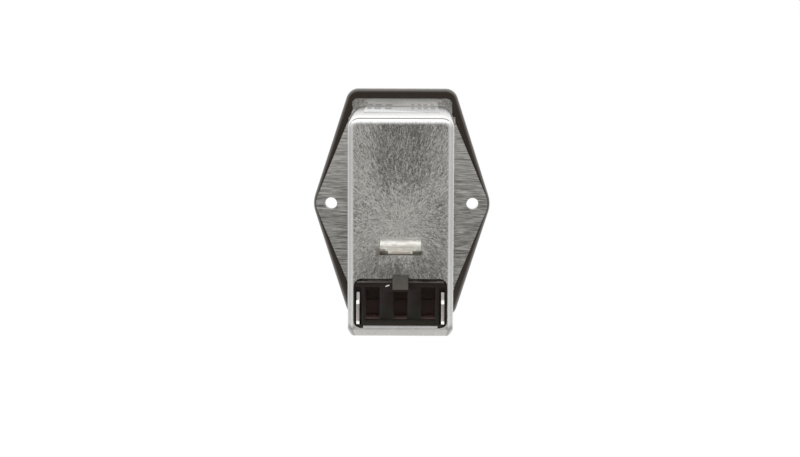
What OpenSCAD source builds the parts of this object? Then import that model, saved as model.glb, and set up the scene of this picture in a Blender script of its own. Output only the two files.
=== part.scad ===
// Mains power entry module: a line filter in a drawn metal can behind a moulded front flange.
// The front carries a three-pin inlet, a two-fuse drawer and a two-pole rocker switch.
//
// Frame: the origin is midway between the two screw holes, on the rear face of the shield plate,
// which is the face that seats on the panel. +X runs along the screw line, +Y runs back into the
// equipment and +Z is up. All sizes are in millimetres.

/* [Flange] */
// Overall height of the moulded flange
flange_h = 64.8; // [64:0.2:70]
// Distance between the two side points of the flange before they are rounded
flange_w = 50.6; // [50:0.2:56]
// Width of the flange along its top and bottom edges before the corners are rounded
flange_end_w = 29.7; // [29.5:0.1:34]
// Thickness of the flange from its front face to its rear rim
flange_t = 4.9; // [4.2:0.1:6]
// Corner radius of the top and bottom corners
flange_corner_r = 3.5; // [2:0.1:5]
// Radius of the rounded side points
flange_tip_r = 8; // [4:0.5:10]
// Radius of the flange's rounded front edge
front_round = 1.2; // [0.6:0.1:1.6]
// Radius of the flange's rounded rear edge
rear_round = 1.2; // [0.4:0.1:1.6]
// Distance between the two screw holes
screw_pitch = 40; // [39:0.1:41]
// Diameter of the screw holes
screw_d = 3.4; // [3:0.1:3.8]
// Diameter of the screw heads' countersinks on the front face
sink_d = 6.6; // [5.6:0.1:7]

/* [Shield plate] */
// Thickness of the metal plate behind the flange
plate_t = 0.8; // [0.5:0.1:1]
// Distance between the plate's side points before they are rounded
plate_w = 49.4; // [48.8:0.1:49.8]
// Radius of the plate's side points
plate_tip_r = 5.5; // [4:0.5:8]
// Half the height of the part of the plate that slopes to the side points
plate_slope_z = 26.1; // [24:0.1:27]
// Width of the plate beyond the can's sides, at its top and bottom
plate_side_margin = 0.25; // [0.2:0.05:0.5]
// Height of the plate above the can
plate_top_margin = 2.4; // [1:0.1:3]
// Height of the plate below the can
plate_bottom_margin = 0.9; // [0.8:0.1:1.2]
// How far the plate stands proud of the flange's rear rim
plate_proud = 0.1; // [0:0.05:0.3]
// Height of the lips raised beside the can
lip_h = 0.8; // [0.4:0.1:1.2]
// Thickness of the lips raised beside the can
lip_t = 0.45; // [0.3:0.05:0.8]

/* [Filter can] */
// Width of the can
can_w = 27.6; // [27.2:0.1:28.4]
// Height of the can
can_h = 57; // [56:0.1:58]
// Depth of the can behind the panel seat
can_depth = 45; // [44:0.5:55]
// Sheet thickness of the can
can_wall = 0.6; // [0.4:0.05:0.8]
// Radius of the can's four long edges
can_corner_r = 3; // [2.5:0.1:3.6]
// Radius of the edge round the can's rear face
can_edge_r = 2; // [1:0.1:2.2]
// How far the can's centre lies below the screw line
can_drop = 1.2; // [0.8:0.1:1.6]

/* [Earth tab] */
// Width of the quick-connect blades
blade_w = 6.3; // [4.8:0.1:6.5]
// Thickness of the quick-connect blades
blade_t = 0.8; // [0.5:0.1:1]
// Width of the earth tab's root
earth_root_w = 10.8; // [9:0.1:12]
// How far the earth blade stands out of the can
earth_len = 8.3; // [7:0.1:10]
// Inner radius of the earth tab's bend
earth_bend_r = 1.8; // [1:0.1:2.4]
// Height of the earth blade's upper face below the screw line
earth_drop = 6.75; // [6:0.05:8]

/* [Terminal block] */
// Width of the can's rear face left beside and below the terminal block
block_margin = 1.65; // [1.5:0.05:2.2]
// Height of the terminal block where it fills the can's rear opening
block_h = 12.65; // [12:0.05:13.5]
// Corner radius of the terminal block
block_r = 2.2; // [1.5:0.1:3]
// Depth of the block's pockets behind its rear rim
pocket_depth = 12.3; // [9:0.1:14]
// Width of each pocket between the ribs
pocket_w = 3.7; // [3:0.1:4]
// Width of the two ribs between the pockets
rib_w = 3.6; // [2.5:0.1:3.8]
// Distance from the terminal block's side to the middle of the output blade beside it
blade_inset = 1.1; // [1:0.05:1.3]
// How far the output blades stand out past the can's rear face
blade_proud = 2; // [0:0.1:4]
// Width of the snap hook
hook_w = 4.1; // [3:0.1:5]

/* [Mains inlet] */
// Width of the inlet's recess
inlet_w = 24.2; // [23.6:0.1:24.4]
// Height of the inlet's recess
inlet_h = 16.4; // [16:0.1:17]
// Depth of the inlet's recess below the front face
inlet_depth = 16.5; // [15:0.1:18]
// Distance between the two live pins
pin_pitch = 14; // [13:0.1:15]
// Height of each pin's section
pin_h = 4; // [3.5:0.1:4.2]
// Thickness of each pin's section
pin_t = 2; // [1.6:0.1:2.2]

/* [Fuse drawer] */
// Diameter of the fuses' end caps
fuse_d = 5.2; // [4.8:0.1:5.2]
// Length of the fuses
fuse_len = 20; // [18:0.5:20]
// Distance between the axes of the two fuses
fuse_pitch = 11; // [10.6:0.1:11.4]
// Width of the fuse drawer
drawer_w = 19; // [18.8:0.1:20]
// Height of the fuse drawer
drawer_h = 8.6; // [8.4:0.1:9]

/* [Rocker switch] */
// Width of the rocker
rocker_w = 20.8; // [19:0.1:21]
// Height of the switch's aperture
switch_h = 18.4; // [18:0.1:18.6]
// Angle of the rocker on each side of its middle position
rocker_tilt = 11; // [8:0.5:12]
// Diameter of the rocker's pivot pins
pivot_d = 2; // [1.6:0.1:2.4]

/* [Filter] */
// Outer diameter of the ring core
core_d = 17; // [15:0.5:17]
// Bore of the ring core
core_bore = 9.5; // [9:0.1:10]
// Height of the ring core
core_h = 7; // [5:0.5:8]
// Diameter of the winding wire
wire_d = 0.9; // [0.6:0.1:0.9]
// Number of turns in each winding
turns = 8; // [5:1:8]
// Thickness of the circuit board
board_t = 1.6; // [1:0.1:2]

/* [Hidden] */
$fn = 48;

LINE = 1;     // side of the line pole, on +X
NEUTRAL = -1; // side of the neutral pole, on -X
EPS = 0.01;
CUT = 1;      // how far a cutting tool runs past the face that it cuts
round_steps = 5;

// Clearances
gap = 0.3;         // between the housing and the can's inside
fit = 0.1;         // round pieces that are pushed through a hole
run_fit = 0.05;    // radial clearance of the rocker's pivots
slide_fit = 0.3;   // round the drawer in its channel
swing_fit = 0.2;   // between the rocker's round ends and the aperture

// Levels along Y
rim_y = -plate_proud;             // rear rim of the flange
front_y = rim_y - flange_t;       // front face of the flange
seat_y = -plate_t;                // floor of the recess that holds the plate
inner_y = can_depth - can_wall;   // inside of the can's rear wall

// The can's outside and inside
can_x = can_w / 2;
can_top = can_h / 2 - can_drop;
can_bottom = -can_h / 2 - can_drop;
in_x = can_x - can_wall;
in_top = can_top - can_wall;
in_bottom = can_bottom + can_wall;

// The moulded body behind the flange
body_x = in_x - gap;
body_top = in_top - gap;
body_bottom = in_bottom + gap;
body_r = can_corner_r - can_wall;
inlet_wall = 1.6;  // above the inlet
web = 3.2;         // between the inlet, the fuse channel and the switch
back_wall = 2;     // behind each of them
inlet_z = body_top - inlet_wall - inlet_h / 2;
channel_h = drawer_h + 2 * slide_fit;
channel_w = drawer_w + 2 * slide_fit;
fuse_z = inlet_z - inlet_h / 2 - web - channel_h / 2;
switch_z = fuse_z - channel_h / 2 - web - switch_h / 2;
switch_w = rocker_w + 2 * swing_fit;
inlet_floor_y = front_y + inlet_depth;
drawer_proud = 0.4;
drawer_front_t = 3;
end_gap = 0.15;    // at each end of a fuse
fuse_y = front_y + drawer_front_t + end_gap;
fuse_end_y = fuse_y + fuse_len;
drawer_end_t = 1.2;
drawer_end_y = fuse_end_y + end_gap + drawer_end_t;
channel_end_y = drawer_end_y + gap;
switch_floor_y = 17;
board_y = channel_end_y + back_wall;
board_back_y = board_y + board_t;
solder = 0.6;      // leads and tails stand this far through the board

// The can's slot for the earth tab
earth_slot_up = 2.5;   // above the blade's upper face
earth_slot_down = 2.15;

// The can's rear opening and the terminal block in it
opening_clear = 0.1;
opening_clear_top = 0.35;
block_w = can_w - 2 * block_margin;
block_bottom = can_bottom + block_margin;
block_z = block_bottom + block_h / 2;
block_top = block_bottom + block_h;
block_rim_y = can_depth - 0.2;
pocket_floor_y = block_rim_y - pocket_depth;
floor_t = 2.4;
block_wall = 0.6;  // round the block's front cavity
block_lip = 0.6;   // of the block behind the opening's upper edge
block_lip_t = 1.2;
block_chamfer = 0.8;
foot_w = 2.3;
foot_rise = 0.65;
rim_top = 1.9;     // the block's rim above the pockets
rim_bottom = 2;    // the block's rim below the pockets, feet included
rib_sink = 0.9;    // ribs below the rim
board_bottom = block_top + 1.9;
blade_x = block_w / 2 - blade_inset;
blade_sill = 1.15; // of the block below the output blades
chamber_depth = 1.6; // of the recess round each output blade
shoulder_h = 1.85; // of the output blades, above the part that a receptacle grips
shoulder_sink = 0.6;
blade_z = block_bottom + blade_sill + blade_w / 2;
blade_end_y = can_depth + blade_proud;
tip_chamfer = 0.9;
detent_d = 1.7;
detent_back = 4;   // from a blade's tip to its detent hole

// The switch's inside
pole_x = 7;
pivot_y = -1;
rocker_r = switch_h / 2 - swing_fit;
pivot_reach = 1.1; // of the rocker's pivots into the housing's side walls
pivot_slack = 0.2; // at the pivots' ends
rocker_wall = 1.2;
rocker_skirt_y = 2.6;
sleeve_d = 4.2;    // of the rocker's sleeves for the plungers
sleeve_bore = 2.7;
sleeve_end_y = 5;
plunger_d = 2.4;
plunger_body_y = 3.4;
plunger_tip_y = 10;
lever_y = 9.5;
lever_t = 0.7;
lever_w = 3;
lever_len = 12.6;
lever_tilt = 8;
pole_w = 1.6;
contact_y = lever_y + 2.5;
stud_d = 2.2;
stud_t = 0.7;
bus_y = switch_floor_y + back_wall + 0.3;
bus_t = 0.8;
strip_top = board_bottom + 1.6; // of the strips that bring the current to the switch

// The filter on the board
board_x = in_x - 2 * gap;
choke_up = 28;     // the filter's pieces stand this far above the board's lower edge
xcap_up = 13.5;
ycap_up = 4.3;
resistor_up = 8.3;
choke_z = board_bottom + choke_up;
divider_t = 0.8;
winding_gap = 0.15;
winding_half_h = core_h / 2 + winding_gap + wire_d;
winding_span = 62; // degrees that each winding covers on each side of the core's middle line
winding_end_x = (core_d / 2 + winding_gap + wire_d / 2) * cos(winding_span);
winding_end_z = (core_d / 2 + winding_gap + wire_d / 2) * sin(winding_span);
choke_lift = 1;    // of the windings above the board
choke_y = board_back_y + choke_lift + winding_half_h;
xcap_w = 13;
xcap_d = 11.5;
xcap_h = 6;
xcap_lead_in = 1.5;
xcap_lead_x = xcap_w / 2 - xcap_lead_in;
xcap_z = board_bottom + xcap_up;
ycap_d = 8;
ycap_t = 3.4;
ycap_x = 6.3;
ycap_lead_x = 2.5;
ycap_lift = 1.2;
ycap_z = board_bottom + ycap_up;
resistor_d = 2.3;
resistor_len = 6.4;
resistor_lead_x = 5;
resistor_z = board_bottom + resistor_up;
lead_d = 0.6;
lead_clear = 0.1;
tail_w = 1;        // of the pins where they pass through the board
tail_h = 2;
strip_w = 2.6;     // of the fuse clips
strip_t = 0.5;
clip_touch = fuse_d / 2 + 0.15; // from a fuse's axis to its clips
liner_t = 0.2;
strap_t = 0.8;
strap_w = 4;
strap_y = inlet_floor_y + back_wall + 2 * fit;

// Corners of the flange, anticlockwise in X and Z, each with its radius
FLANGE = [
    [flange_w / 2, 0, flange_tip_r],
    [flange_end_w / 2, flange_h / 2, flange_corner_r],
    [-flange_end_w / 2, flange_h / 2, flange_corner_r],
    [-flange_w / 2, 0, flange_tip_r],
    [-flange_end_w / 2, -flange_h / 2, flange_corner_r],
    [flange_end_w / 2, -flange_h / 2, flange_corner_r]
];

// Corners of the shield plate
plate_x = can_x + plate_side_margin;
plate_top = can_top + plate_top_margin;
plate_bottom = can_bottom - plate_bottom_margin;
PLATE = [
    [plate_w / 2, 0, plate_tip_r],
    [plate_x, plate_slope_z, 1],
    [plate_x, plate_top, 1.5],
    [-plate_x, plate_top, 1.5],
    [-plate_x, plate_slope_z, 1],
    [-plate_w / 2, 0, plate_tip_r],
    [-plate_x, -plate_slope_z, 1],
    [-plate_x, plate_bottom, 1.5],
    [plate_x, plate_bottom, 1.5],
    [plate_x, -plate_slope_z, 1]
];

// Corners of the circuit board
BOARD = [
    [board_x, board_bottom, 0.5],
    [board_x, body_top - gap, 2],
    [-board_x, body_top - gap, 2],
    [-board_x, board_bottom, 0.5]
];

function box_corners(w, h, r) =
    [[w / 2, -h / 2, r], [w / 2, h / 2, r], [-w / 2, h / 2, r], [-w / 2, -h / 2, r]];

// Outward normal of the side from a to b
function side_normal(a, b) = let (d = [b[0] - a[0], b[1] - a[1]]) [d[1], -d[0]] / norm(d);

// Points of an outline whose corners are rounded by their radii, drawn in by inset all round
function rounded_points(corners, inset, steps) =
    let (n = len(corners))
    [
        for (i = [0 : n - 1])
            let (
                before = side_normal(corners[(i + n - 1) % n], corners[i]),
                after = side_normal(corners[i], corners[(i + 1) % n]),
                r = corners[i][2],
                centre = [corners[i][0], corners[i][1]] - r * (before + after) / (1 + before * after),
                turn = acos(min(1, before * after)),
                start = atan2(before[1], before[0])
            )
            for (s = [0 : steps])
                centre + (r - inset) * [cos(start + turn * s / steps), sin(start + turn * s / steps)]
    ];

// Extrudes a drawing in X and Z from y0 to y1
module along_y(y0, y1) {
    translate([0, y1, 0]) rotate([90, 0, 0]) linear_extrude(y1 - y0) children();
}

// Extrudes a drawing in Y and Z, centred on X
module along_x(w) {
    translate([-w / 2, 0, 0]) rotate([90, 0, 90]) linear_extrude(w) children();
}

// Levels of a rounded edge, each as [distance from the face, inset]
function edge_levels(r) =
    [for (s = [0 : round_steps]) let (a = 90 * s / round_steps) [r * (1 - cos(a)), r * (1 - sin(a))]];

// Levels of a slab whose edges are rounded by r0 at y0 and r1 at y1, each as [y, inset]
function slab_levels(y0, y1, r0, r1) =
    let (rear = edge_levels(r1))
    concat(
        r0 == 0 ? [[y0, 0]] : [for (l = edge_levels(r0)) [y0 + l[0], l[1]]],
        [for (s = [round_steps : -1 : 0]) [y1 - rear[s][0], rear[s][1]]]
    );

// A slab with a rounded outline from y0 to y1 and rounded edges, as rings of points joined up
module rounded_slab(corners, y0, y1, r0, r1) {
    levels = slab_levels(y0, y1, r0, r1);
    n = len(corners) * (round_steps + 1);
    points = [for (l = levels) for (p = rounded_points(corners, l[1], round_steps)) [p[0], l[0], p[1]]];
    sides = [
        for (i = [0 : len(levels) - 2], j = [0 : n - 1])
            [i * n + j, i * n + (j + 1) % n, (i + 1) * n + (j + 1) % n, (i + 1) * n + j]
    ];
    front = [[for (j = [n - 1 : -1 : 0]) j]];
    rear = [[for (j = [0 : n - 1]) (len(levels) - 1) * n + j]];
    polyhedron(points, concat(front, sides, rear), convexity = 6);
}

module rounded_rect(w, h, r) {
    square([w - 2 * r, h], center = true);
    square([w, h - 2 * r], center = true);
    for (x = [-1, 1], y = [-1, 1]) translate([x * (w / 2 - r), y * (h / 2 - r)]) circle(r);
}

module box(x0, x1, y0, y1, z0, z1) {
    translate([x0, y0, z0]) cube([x1 - x0, y1 - y0, z1 - z0]);
}

// A box of width w and height h centred on x and z
module bar(x, z, w, h, y0, y1) {
    box(x - w / 2, x + w / 2, y0, y1, z - h / 2, z + h / 2);
}

// A round bar of diameter d along Y
module rod(x, z, d, y0, y1) {
    translate([x, y0, z]) rotate([-90, 0, 0]) cylinder(d = d, h = y1 - y0, $fn = 24);
}

// Puts a piece drawn for the line side on the side asked for
module on_side(side) {
    mirror([side == LINE ? 0 : 1, 0, 0]) children();
}

// ---------- front moulding ----------

// The inlet's recess, chamfered on the side of its earth pin
module inlet_outline() {
    chamfer = 4.6;
    translate([0, inlet_z])
        polygon(concat(
            rounded_points([
                [inlet_w / 2, -inlet_h / 2, 2.4],
                [inlet_w / 2, inlet_h / 2 - chamfer, 1.2],
                [inlet_w / 2 - chamfer, inlet_h / 2, 1.2],
                [-inlet_w / 2 + chamfer, inlet_h / 2, 1.2],
                [-inlet_w / 2, inlet_h / 2 - chamfer, 1.2],
                [-inlet_w / 2, -inlet_h / 2, 2.4]
            ], 0, round_steps)
        ));
}

module screw_hole(side) {
    translate([side * screw_pitch / 2, 0, 0]) rotate([90, 0, 0]) {
        translate([0, 0, -CUT]) cylinder(d = screw_d, h = flange_t + 2 * CUT + plate_t);
        translate([0, 0, -front_y - (sink_d - screw_d) / 2])
            cylinder(d1 = screw_d, d2 = sink_d, h = (sink_d - screw_d) / 2);
        translate([0, 0, -front_y]) cylinder(d = sink_d, h = CUT);
    }
}

// Slots through the channel's rear wall for the tails of the fuse clips
module clip_slots(y0, y1) {
    for (side = [LINE, NEUTRAL], up = [-1, 1])
        bar(side * fuse_pitch / 2, fuse_z + up * (channel_h - strip_t) / 2,
            strip_w + 2 * fit, strip_t + 2 * fit, y0, y1);
}

module body_block(z0, z1, y1) {
    box(-body_x, body_x, seat_y - EPS, y1, z0, z1);
}

module bezel_housing() {
    pillar_w = 3;
    pillar_in = 4;
    fuse_floor = fuse_z - channel_h / 2 - web / 2;
    inlet_bottom = inlet_z - inlet_h / 2 - web / 2;
    color([0.16, 0.15, 0.14])
    difference() {
        union() {
            difference() {
                rounded_slab(FLANGE, front_y, rim_y, front_round, rear_round);
                along_y(seat_y, rim_y + CUT) polygon(rounded_points(PLATE, -fit, round_steps));
            }
            intersection() {
                union() {
                    body_block(inlet_bottom - EPS, body_top, inlet_floor_y + back_wall);
                    body_block(fuse_floor - EPS, inlet_bottom, board_y);
                    body_block(body_bottom, fuse_floor, switch_floor_y + back_wall);
                }
                translate([0, 0, (body_top + body_bottom) / 2])
                    along_y(seat_y - EPS, board_y + CUT)
                        rounded_rect(2 * body_x, body_top - body_bottom, body_r);
            }
            // Pillars that hold the board's upper corners
            for (x = [-1, 1])
                bar(x * (body_x - pillar_in), body_top - pillar_w / 2 - 1, pillar_w, pillar_w,
                    inlet_floor_y, board_y);
        }
        along_y(front_y - CUT, inlet_floor_y) inlet_outline();
        for (i = [-1 : 1])
            pin_place(i)
                bar(0, 0, pin_t + 2 * fit, pin_h + 2 * fit,
                    inlet_floor_y - CUT, inlet_floor_y + back_wall + CUT);
        bar(0, fuse_z, channel_w, channel_h, front_y - CUT, channel_end_y);
        clip_slots(channel_end_y - CUT, board_y + CUT);
        bar(0, switch_z, switch_w, switch_h, front_y - CUT, switch_floor_y);
        for (side = [LINE, NEUTRAL]) {
            screw_hole(side);
            translate([side * (switch_w / 2 - CUT / 2), pivot_y, switch_z]) rotate([0, side * 90, 0])
                cylinder(d = pivot_d + 2 * run_fit, h = pivot_reach + pivot_slack + CUT / 2);
            switch_leg_slot(side, switch_z);
            switch_leg_slot(side, contact_z());
        }
    }
}

module switch_leg_slot(side, z) {
    bar(side * pole_x, z, pole_w + 2 * fit, pole_w + 2 * fit,
        switch_floor_y - CUT, switch_floor_y + back_wall + CUT);
}

// ---------- metal shell ----------

module shield_plate() {
    lip_x = can_x + 0.95;
    lip_len = 2 * (plate_slope_z - 1.6);
    color([0.62, 0.62, 0.6])
    difference() {
        union() {
            along_y(seat_y, 0) polygon(rounded_points(PLATE, 0, round_steps));
            for (x = [-1, 1]) bar(x * lip_x, 0, lip_t, lip_len, -EPS, lip_h);
        }
        translate([0, 0, -can_drop])
            along_y(seat_y - CUT, CUT) rounded_rect(can_w + 2 * fit, can_h + 2 * fit, can_corner_r + fit);
        for (side = [LINE, NEUTRAL]) screw_hole(side);
    }
}

function opening_corners(clear, clear_top) =
    let (w = block_w / 2 + clear, z0 = block_bottom - clear, z1 = block_top + clear_top)
    [[w, z0, block_r], [w, z1, block_r], [-w, z1, block_r], [-w, z0, block_r]];

// The can's rear opening, whose lower edge is lower at each end, for the block's feet
module opening_outline() {
    sill_w = block_w - 2 * (foot_w + opening_clear);
    difference() {
        polygon(rounded_points(opening_corners(opening_clear, opening_clear_top), 0, round_steps));
        translate([-sill_w / 2, block_bottom - CUT]) square([sill_w, CUT + foot_rise - opening_clear]);
    }
}

module filter_can() {
    notch_h = 0.7;
    color([0.66, 0.66, 0.64])
    difference() {
        translate([0, 0, -can_drop])
            rounded_slab(box_corners(can_w, can_h, can_corner_r), seat_y, can_depth, 0, can_edge_r);
        translate([0, 0, -can_drop])
            rounded_slab(box_corners(2 * in_x, can_h - 2 * can_wall, can_corner_r - can_wall),
                seat_y - CUT, inner_y, 0, can_edge_r - can_wall);
        along_y(inner_y - CUT, can_depth + CUT) opening_outline();
        box(-hook_w / 2 - gap, hook_w / 2 + gap, inner_y - CUT, can_depth + CUT,
            block_top - CUT, block_top + notch_h);
        box(-earth_root_w / 2 - fit, earth_root_w / 2 + fit, inner_y - CUT, can_depth + CUT,
            -earth_drop - earth_slot_down, -earth_drop + earth_slot_up);
    }
}

module label() {
    label_w = 20.4;
    label_t = 0.12;
    label_end = can_depth - 15;
    color([0.93, 0.93, 0.92])
    box(-label_w / 2, label_w / 2, lip_h, label_end, can_top, can_top + label_t);
}

// The can's inside section drawn in by inset all round
module lining_section(inset) {
    corners = box_corners(2 * in_x, can_h - 2 * can_wall, can_corner_r - can_wall);
    translate([0, -can_drop]) polygon(rounded_points(corners, inset, round_steps));
}

// A folded film that keeps the live parts off the can
module insulation_liner() {
    front = board_y + fit;
    back = inner_y - blade_t - gap;
    color([0.9, 0.88, 0.8])
    difference() {
        along_y(front, back) lining_section(fit);
        along_y(front - CUT, back - liner_t) lining_section(fit + liner_t);
        box(-can_x, can_x, front - CUT, back + CUT, can_bottom, board_bottom);
    }
}

// ---------- terminals ----------

function contact_z() = switch_z - lever_len / 2 + 1.2;

module blade_outline(w, len) {
    polygon([
        [0, -w / 2], [len - tip_chamfer, -w / 2], [len, -w / 2 + tip_chamfer],
        [len, w / 2 - tip_chamfer], [len - tip_chamfer, w / 2], [0, w / 2]
    ]);
}

// An output blade, with the foot that runs forward to the switch's fixed contact
module output_blade(side) {
    foot_reach = blade_x + blade_t / 2 - pole_x + pole_w / 2;
    foot_x = blade_x + blade_t / 2 - foot_reach / 2;
    color([0.8, 0.8, 0.78])
    on_side(side) {
        difference() {
            translate([blade_x, bus_y, blade_z]) along_x(blade_t) blade_outline(blade_w, blade_end_y - bus_y);
            translate([blade_x, blade_end_y - detent_back, blade_z]) rotate([0, 90, 0])
                cylinder(d = detent_d, h = 2 * blade_t, center = true);
        }
        bar(blade_x, blade_z + (blade_w + shoulder_h) / 2 - EPS, blade_t, shoulder_h,
            block_rim_y - chamber_depth + fit, block_rim_y - shoulder_sink);
        bar(foot_x, contact_z(), foot_reach, pole_w, bus_y, bus_y + bus_t);
        bar(pole_x, contact_z(), pole_w, pole_w, contact_y, bus_y + bus_t);
        translate([pole_x, contact_y + EPS, contact_z()]) rotate([90, 0, 0]) cylinder(d = stud_d, h = stud_t);
    }
}

module block_blade_slots(y0, y1) {
    for (side = [LINE, NEUTRAL])
        bar(side * blade_x, blade_z, blade_t + 2 * fit, blade_w + 2 * fit, y0, y1);
}

module terminal_block() {
    pocket_z0 = block_bottom + rim_bottom;
    pocket_z1 = block_top - rim_top;
    rib_top = pocket_z1 - 1.2;
    first_pocket_x = pocket_w / 2 + rib_w + pocket_w;
    chamber_x0 = blade_x - 0.9;
    chamber_x1 = blade_x + 0.75;
    chamber_z0 = block_bottom + 0.9;
    front_cavity_y = bus_y + bus_t + 2 * gap;
    front_cavity_h = block_h - 2 * block_wall;
    lip_z0 = block_top - 1;
    step_t = 0.8;
    color([0.13, 0.11, 0.11])
    difference() {
        union() {
            difference() {
                along_y(front_cavity_y, block_rim_y)
                    polygon(rounded_points(opening_corners(0, 0), 0, round_steps));
                along_x(block_w + CUT) polygon([
                    [block_rim_y - block_chamfer, block_top], [block_rim_y - block_chamfer, block_top + CUT],
                    [block_rim_y + CUT, block_top + CUT], [block_rim_y + CUT, block_top - block_chamfer],
                    [block_rim_y, block_top - block_chamfer]
                ]);
            }
            box(-block_w / 2 + block_r, block_w / 2 - block_r, inner_y - block_lip_t, inner_y,
                lip_z0, block_top + block_lip);
            snap_hook();
        }
        // The rim is raised between the two feet
        box(-block_w / 2 + foot_w, block_w / 2 - foot_w, inner_y - fit, block_rim_y + CUT,
            block_bottom - CUT, block_bottom + foot_rise);
        box(-first_pocket_x, first_pocket_x, block_rim_y - rib_sink, block_rim_y + CUT, pocket_z0, rib_top);
        for (i = [-1 : 1])
            block_pocket(i, pocket_floor_y, block_rim_y + CUT, pocket_z0, i == 0 ? rib_top : pocket_z1);
        for (side = [LINE, NEUTRAL])
            bar(side * (chamber_x0 + chamber_x1) / 2, (chamber_z0 + pocket_z1) / 2,
                chamber_x1 - chamber_x0, pocket_z1 - chamber_z0,
                block_rim_y - chamber_depth, block_rim_y + CUT);
        block_blade_slots(pocket_floor_y - floor_t - CUT, block_rim_y);
        bar(0, block_z, block_w - 2 * block_wall, front_cavity_h,
            front_cavity_y - CUT, pocket_floor_y - floor_t);
    }
    // A low step across the floor of each pocket
    color([0.13, 0.11, 0.11])
    for (i = [-1 : 1])
        block_pocket(i, pocket_floor_y - EPS, pocket_floor_y + step_t, pocket_z0, block_z - 0.6);
}

module block_pocket(i, y0, y1, z0, z1) {
    box(i * (pocket_w + rib_w) - pocket_w / 2, i * (pocket_w + rib_w) + pocket_w / 2, y0, y1, z0, z1);
}

// The hook that snaps over the edge of the can's opening
module snap_hook() {
    hook_t = 1.1;
    hook_reach = 1.15;
    hook_h = 3.7;
    hook_lead = 1.9;
    hook_chamfer = 0.25;
    root = block_rim_y - 3;
    heel = can_depth + run_fit;
    back = can_depth + hook_t;
    top = block_top + hook_reach;
    along_x(hook_w)
        polygon([
            [heel, top], [heel, block_top - fit], [root, block_top - fit],
            [root, top - hook_h], [can_depth + hook_chamfer, top - hook_h],
            [back, top - hook_lead], [back, top - hook_chamfer], [back - hook_chamfer, top]
        ]);
}

// The tab comes out through the can's slot and bends down into the earth blade
module earth_tab() {
    r = earth_bend_r;
    root_y = inner_y + r;
    tip_y = can_depth + earth_len;
    rise = 6;
    outer_r = r + blade_t;
    color([0.86, 0.84, 0.78]) {
        bar(0, r - earth_drop + rise / 2, earth_root_w, rise + 2 * EPS, inner_y - blade_t, inner_y);
        along_x(earth_root_w) translate([root_y, r - earth_drop]) intersection() {
            difference() {
                circle(r = outer_r);
                circle(r = r);
            }
            translate([-outer_r, -outer_r]) square([outer_r, outer_r]);
        }
        difference() {
            translate([0, root_y - EPS, -earth_drop - blade_t]) rotate([0, 0, 90])
                linear_extrude(blade_t) blade_outline(blade_w, tip_y - root_y);
            translate([0, tip_y - detent_back, -earth_drop - 2 * blade_t])
                cylinder(d = detent_d, h = 3 * blade_t);
        }
    }
}

// ---------- inlet pins ----------

// Places a pin drawn at the origin: -1 and 1 are the live pins and 0 is earth
module pin_place(i) {
    earth_offset = 4;
    translate([i * pin_pitch / 2, 0, inlet_z + (i == 0 ? 1 : -1) * earth_offset / 2]) children();
}

// A pin of the inlet, with a thin tail: the live pins' tails reach the board and earth's the strap
module inlet_pin(i) {
    recess = i == 0 ? 1 : 2;
    tip = front_y + recess;
    nose = 1.2;
    tail_end = i == 0 ? strap_y + strap_t + solder : board_back_y + solder;
    color([0.8, 0.78, 0.72])
    pin_place(i) {
        hull() {
            bar(0, 0, pin_t, pin_h, tip + nose, tip + nose + EPS);
            bar(0, 0, pin_t / 2, pin_h - nose, tip, tip + EPS);
        }
        bar(0, 0, pin_t, pin_h, tip + nose, strap_y - fit);
        bar(0, 0, tail_w, tail_h, strap_y - fit - EPS, tail_end);
    }
}

// Joins the earth pin to the can
module earth_strap() {
    foot = 6;
    color([0.8, 0.78, 0.72])
    difference() {
        union() {
            box(-strap_w / 2, strap_w / 2, strap_y, strap_y + strap_t, inlet_z - 1, in_top);
            box(-strap_w / 2, strap_w / 2, strap_y, strap_y + foot, in_top - strap_t, in_top);
        }
        pin_place(0) bar(0, 0, tail_w + 2 * fit, tail_h + 2 * fit, strap_y - CUT, strap_y + strap_t + CUT);
    }
}

// ---------- fuses and their drawer ----------

module fuse_drawer() {
    grip_w = 9;
    grip_h = 1.6;
    grip_d = 1;
    wall = drawer_w / 2 - fuse_pitch / 2 - fuse_d / 2 - end_gap;
    spine = fuse_pitch / 2 - fuse_d / 2 - end_gap;
    half_h = drawer_h / 2;
    ledge_w = 1.05;
    ledge_x = fuse_d / 2 - 0.225;
    ledge_y = fuse_y + fuse_len / 2;
    ledge_len = 5;
    ledge_top = -fuse_d / 2 + 0.55;
    ledge_lift = 0.6;
    color([0.17, 0.16, 0.15])
    translate([0, 0, fuse_z]) difference() {
        union() {
            bar(0, 0, drawer_w, drawer_h, front_y - drawer_proud, front_y + drawer_front_t);
            bar(0, 0, drawer_w, drawer_h - 2, drawer_end_y - drawer_end_t, drawer_end_y);
            bar(0, 0, 2 * spine, drawer_h - 2, front_y, drawer_end_y);
            for (side = [LINE, NEUTRAL]) {
                bar(side * (drawer_w - wall) / 2, 0, wall, drawer_h, front_y, drawer_end_y);
                // Ledges under the glass, clear of the clips between them
                for (x = [-1, 1])
                    bar(side * fuse_pitch / 2 + x * ledge_x, (ledge_top - half_h + ledge_lift) / 2,
                        ledge_w, ledge_top + half_h - ledge_lift,
                        ledge_y - ledge_len / 2, ledge_y + ledge_len / 2);
            }
        }
        // A grip along the lower edge of the front
        bar(0, -half_h, grip_w, 2 * grip_h, front_y - drawer_proud - CUT, front_y + grip_d);
        // The rear wall passes between the clips
        for (side = [LINE, NEUTRAL], up = [-1, 1])
            translate([side * fuse_pitch / 2, drawer_end_y, up * (clip_touch - slide_fit + half_h)])
                cube([strip_w + 2 * slide_fit, 2 * (drawer_end_t + EPS), 2 * half_h], center = true);
    }
}

cap_len = 5;
cap_t = 0.35;

module at_fuse(side) {
    translate([side * fuse_pitch / 2, 0, fuse_z]) rotate([-90, 0, 0]) children();
}

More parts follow.
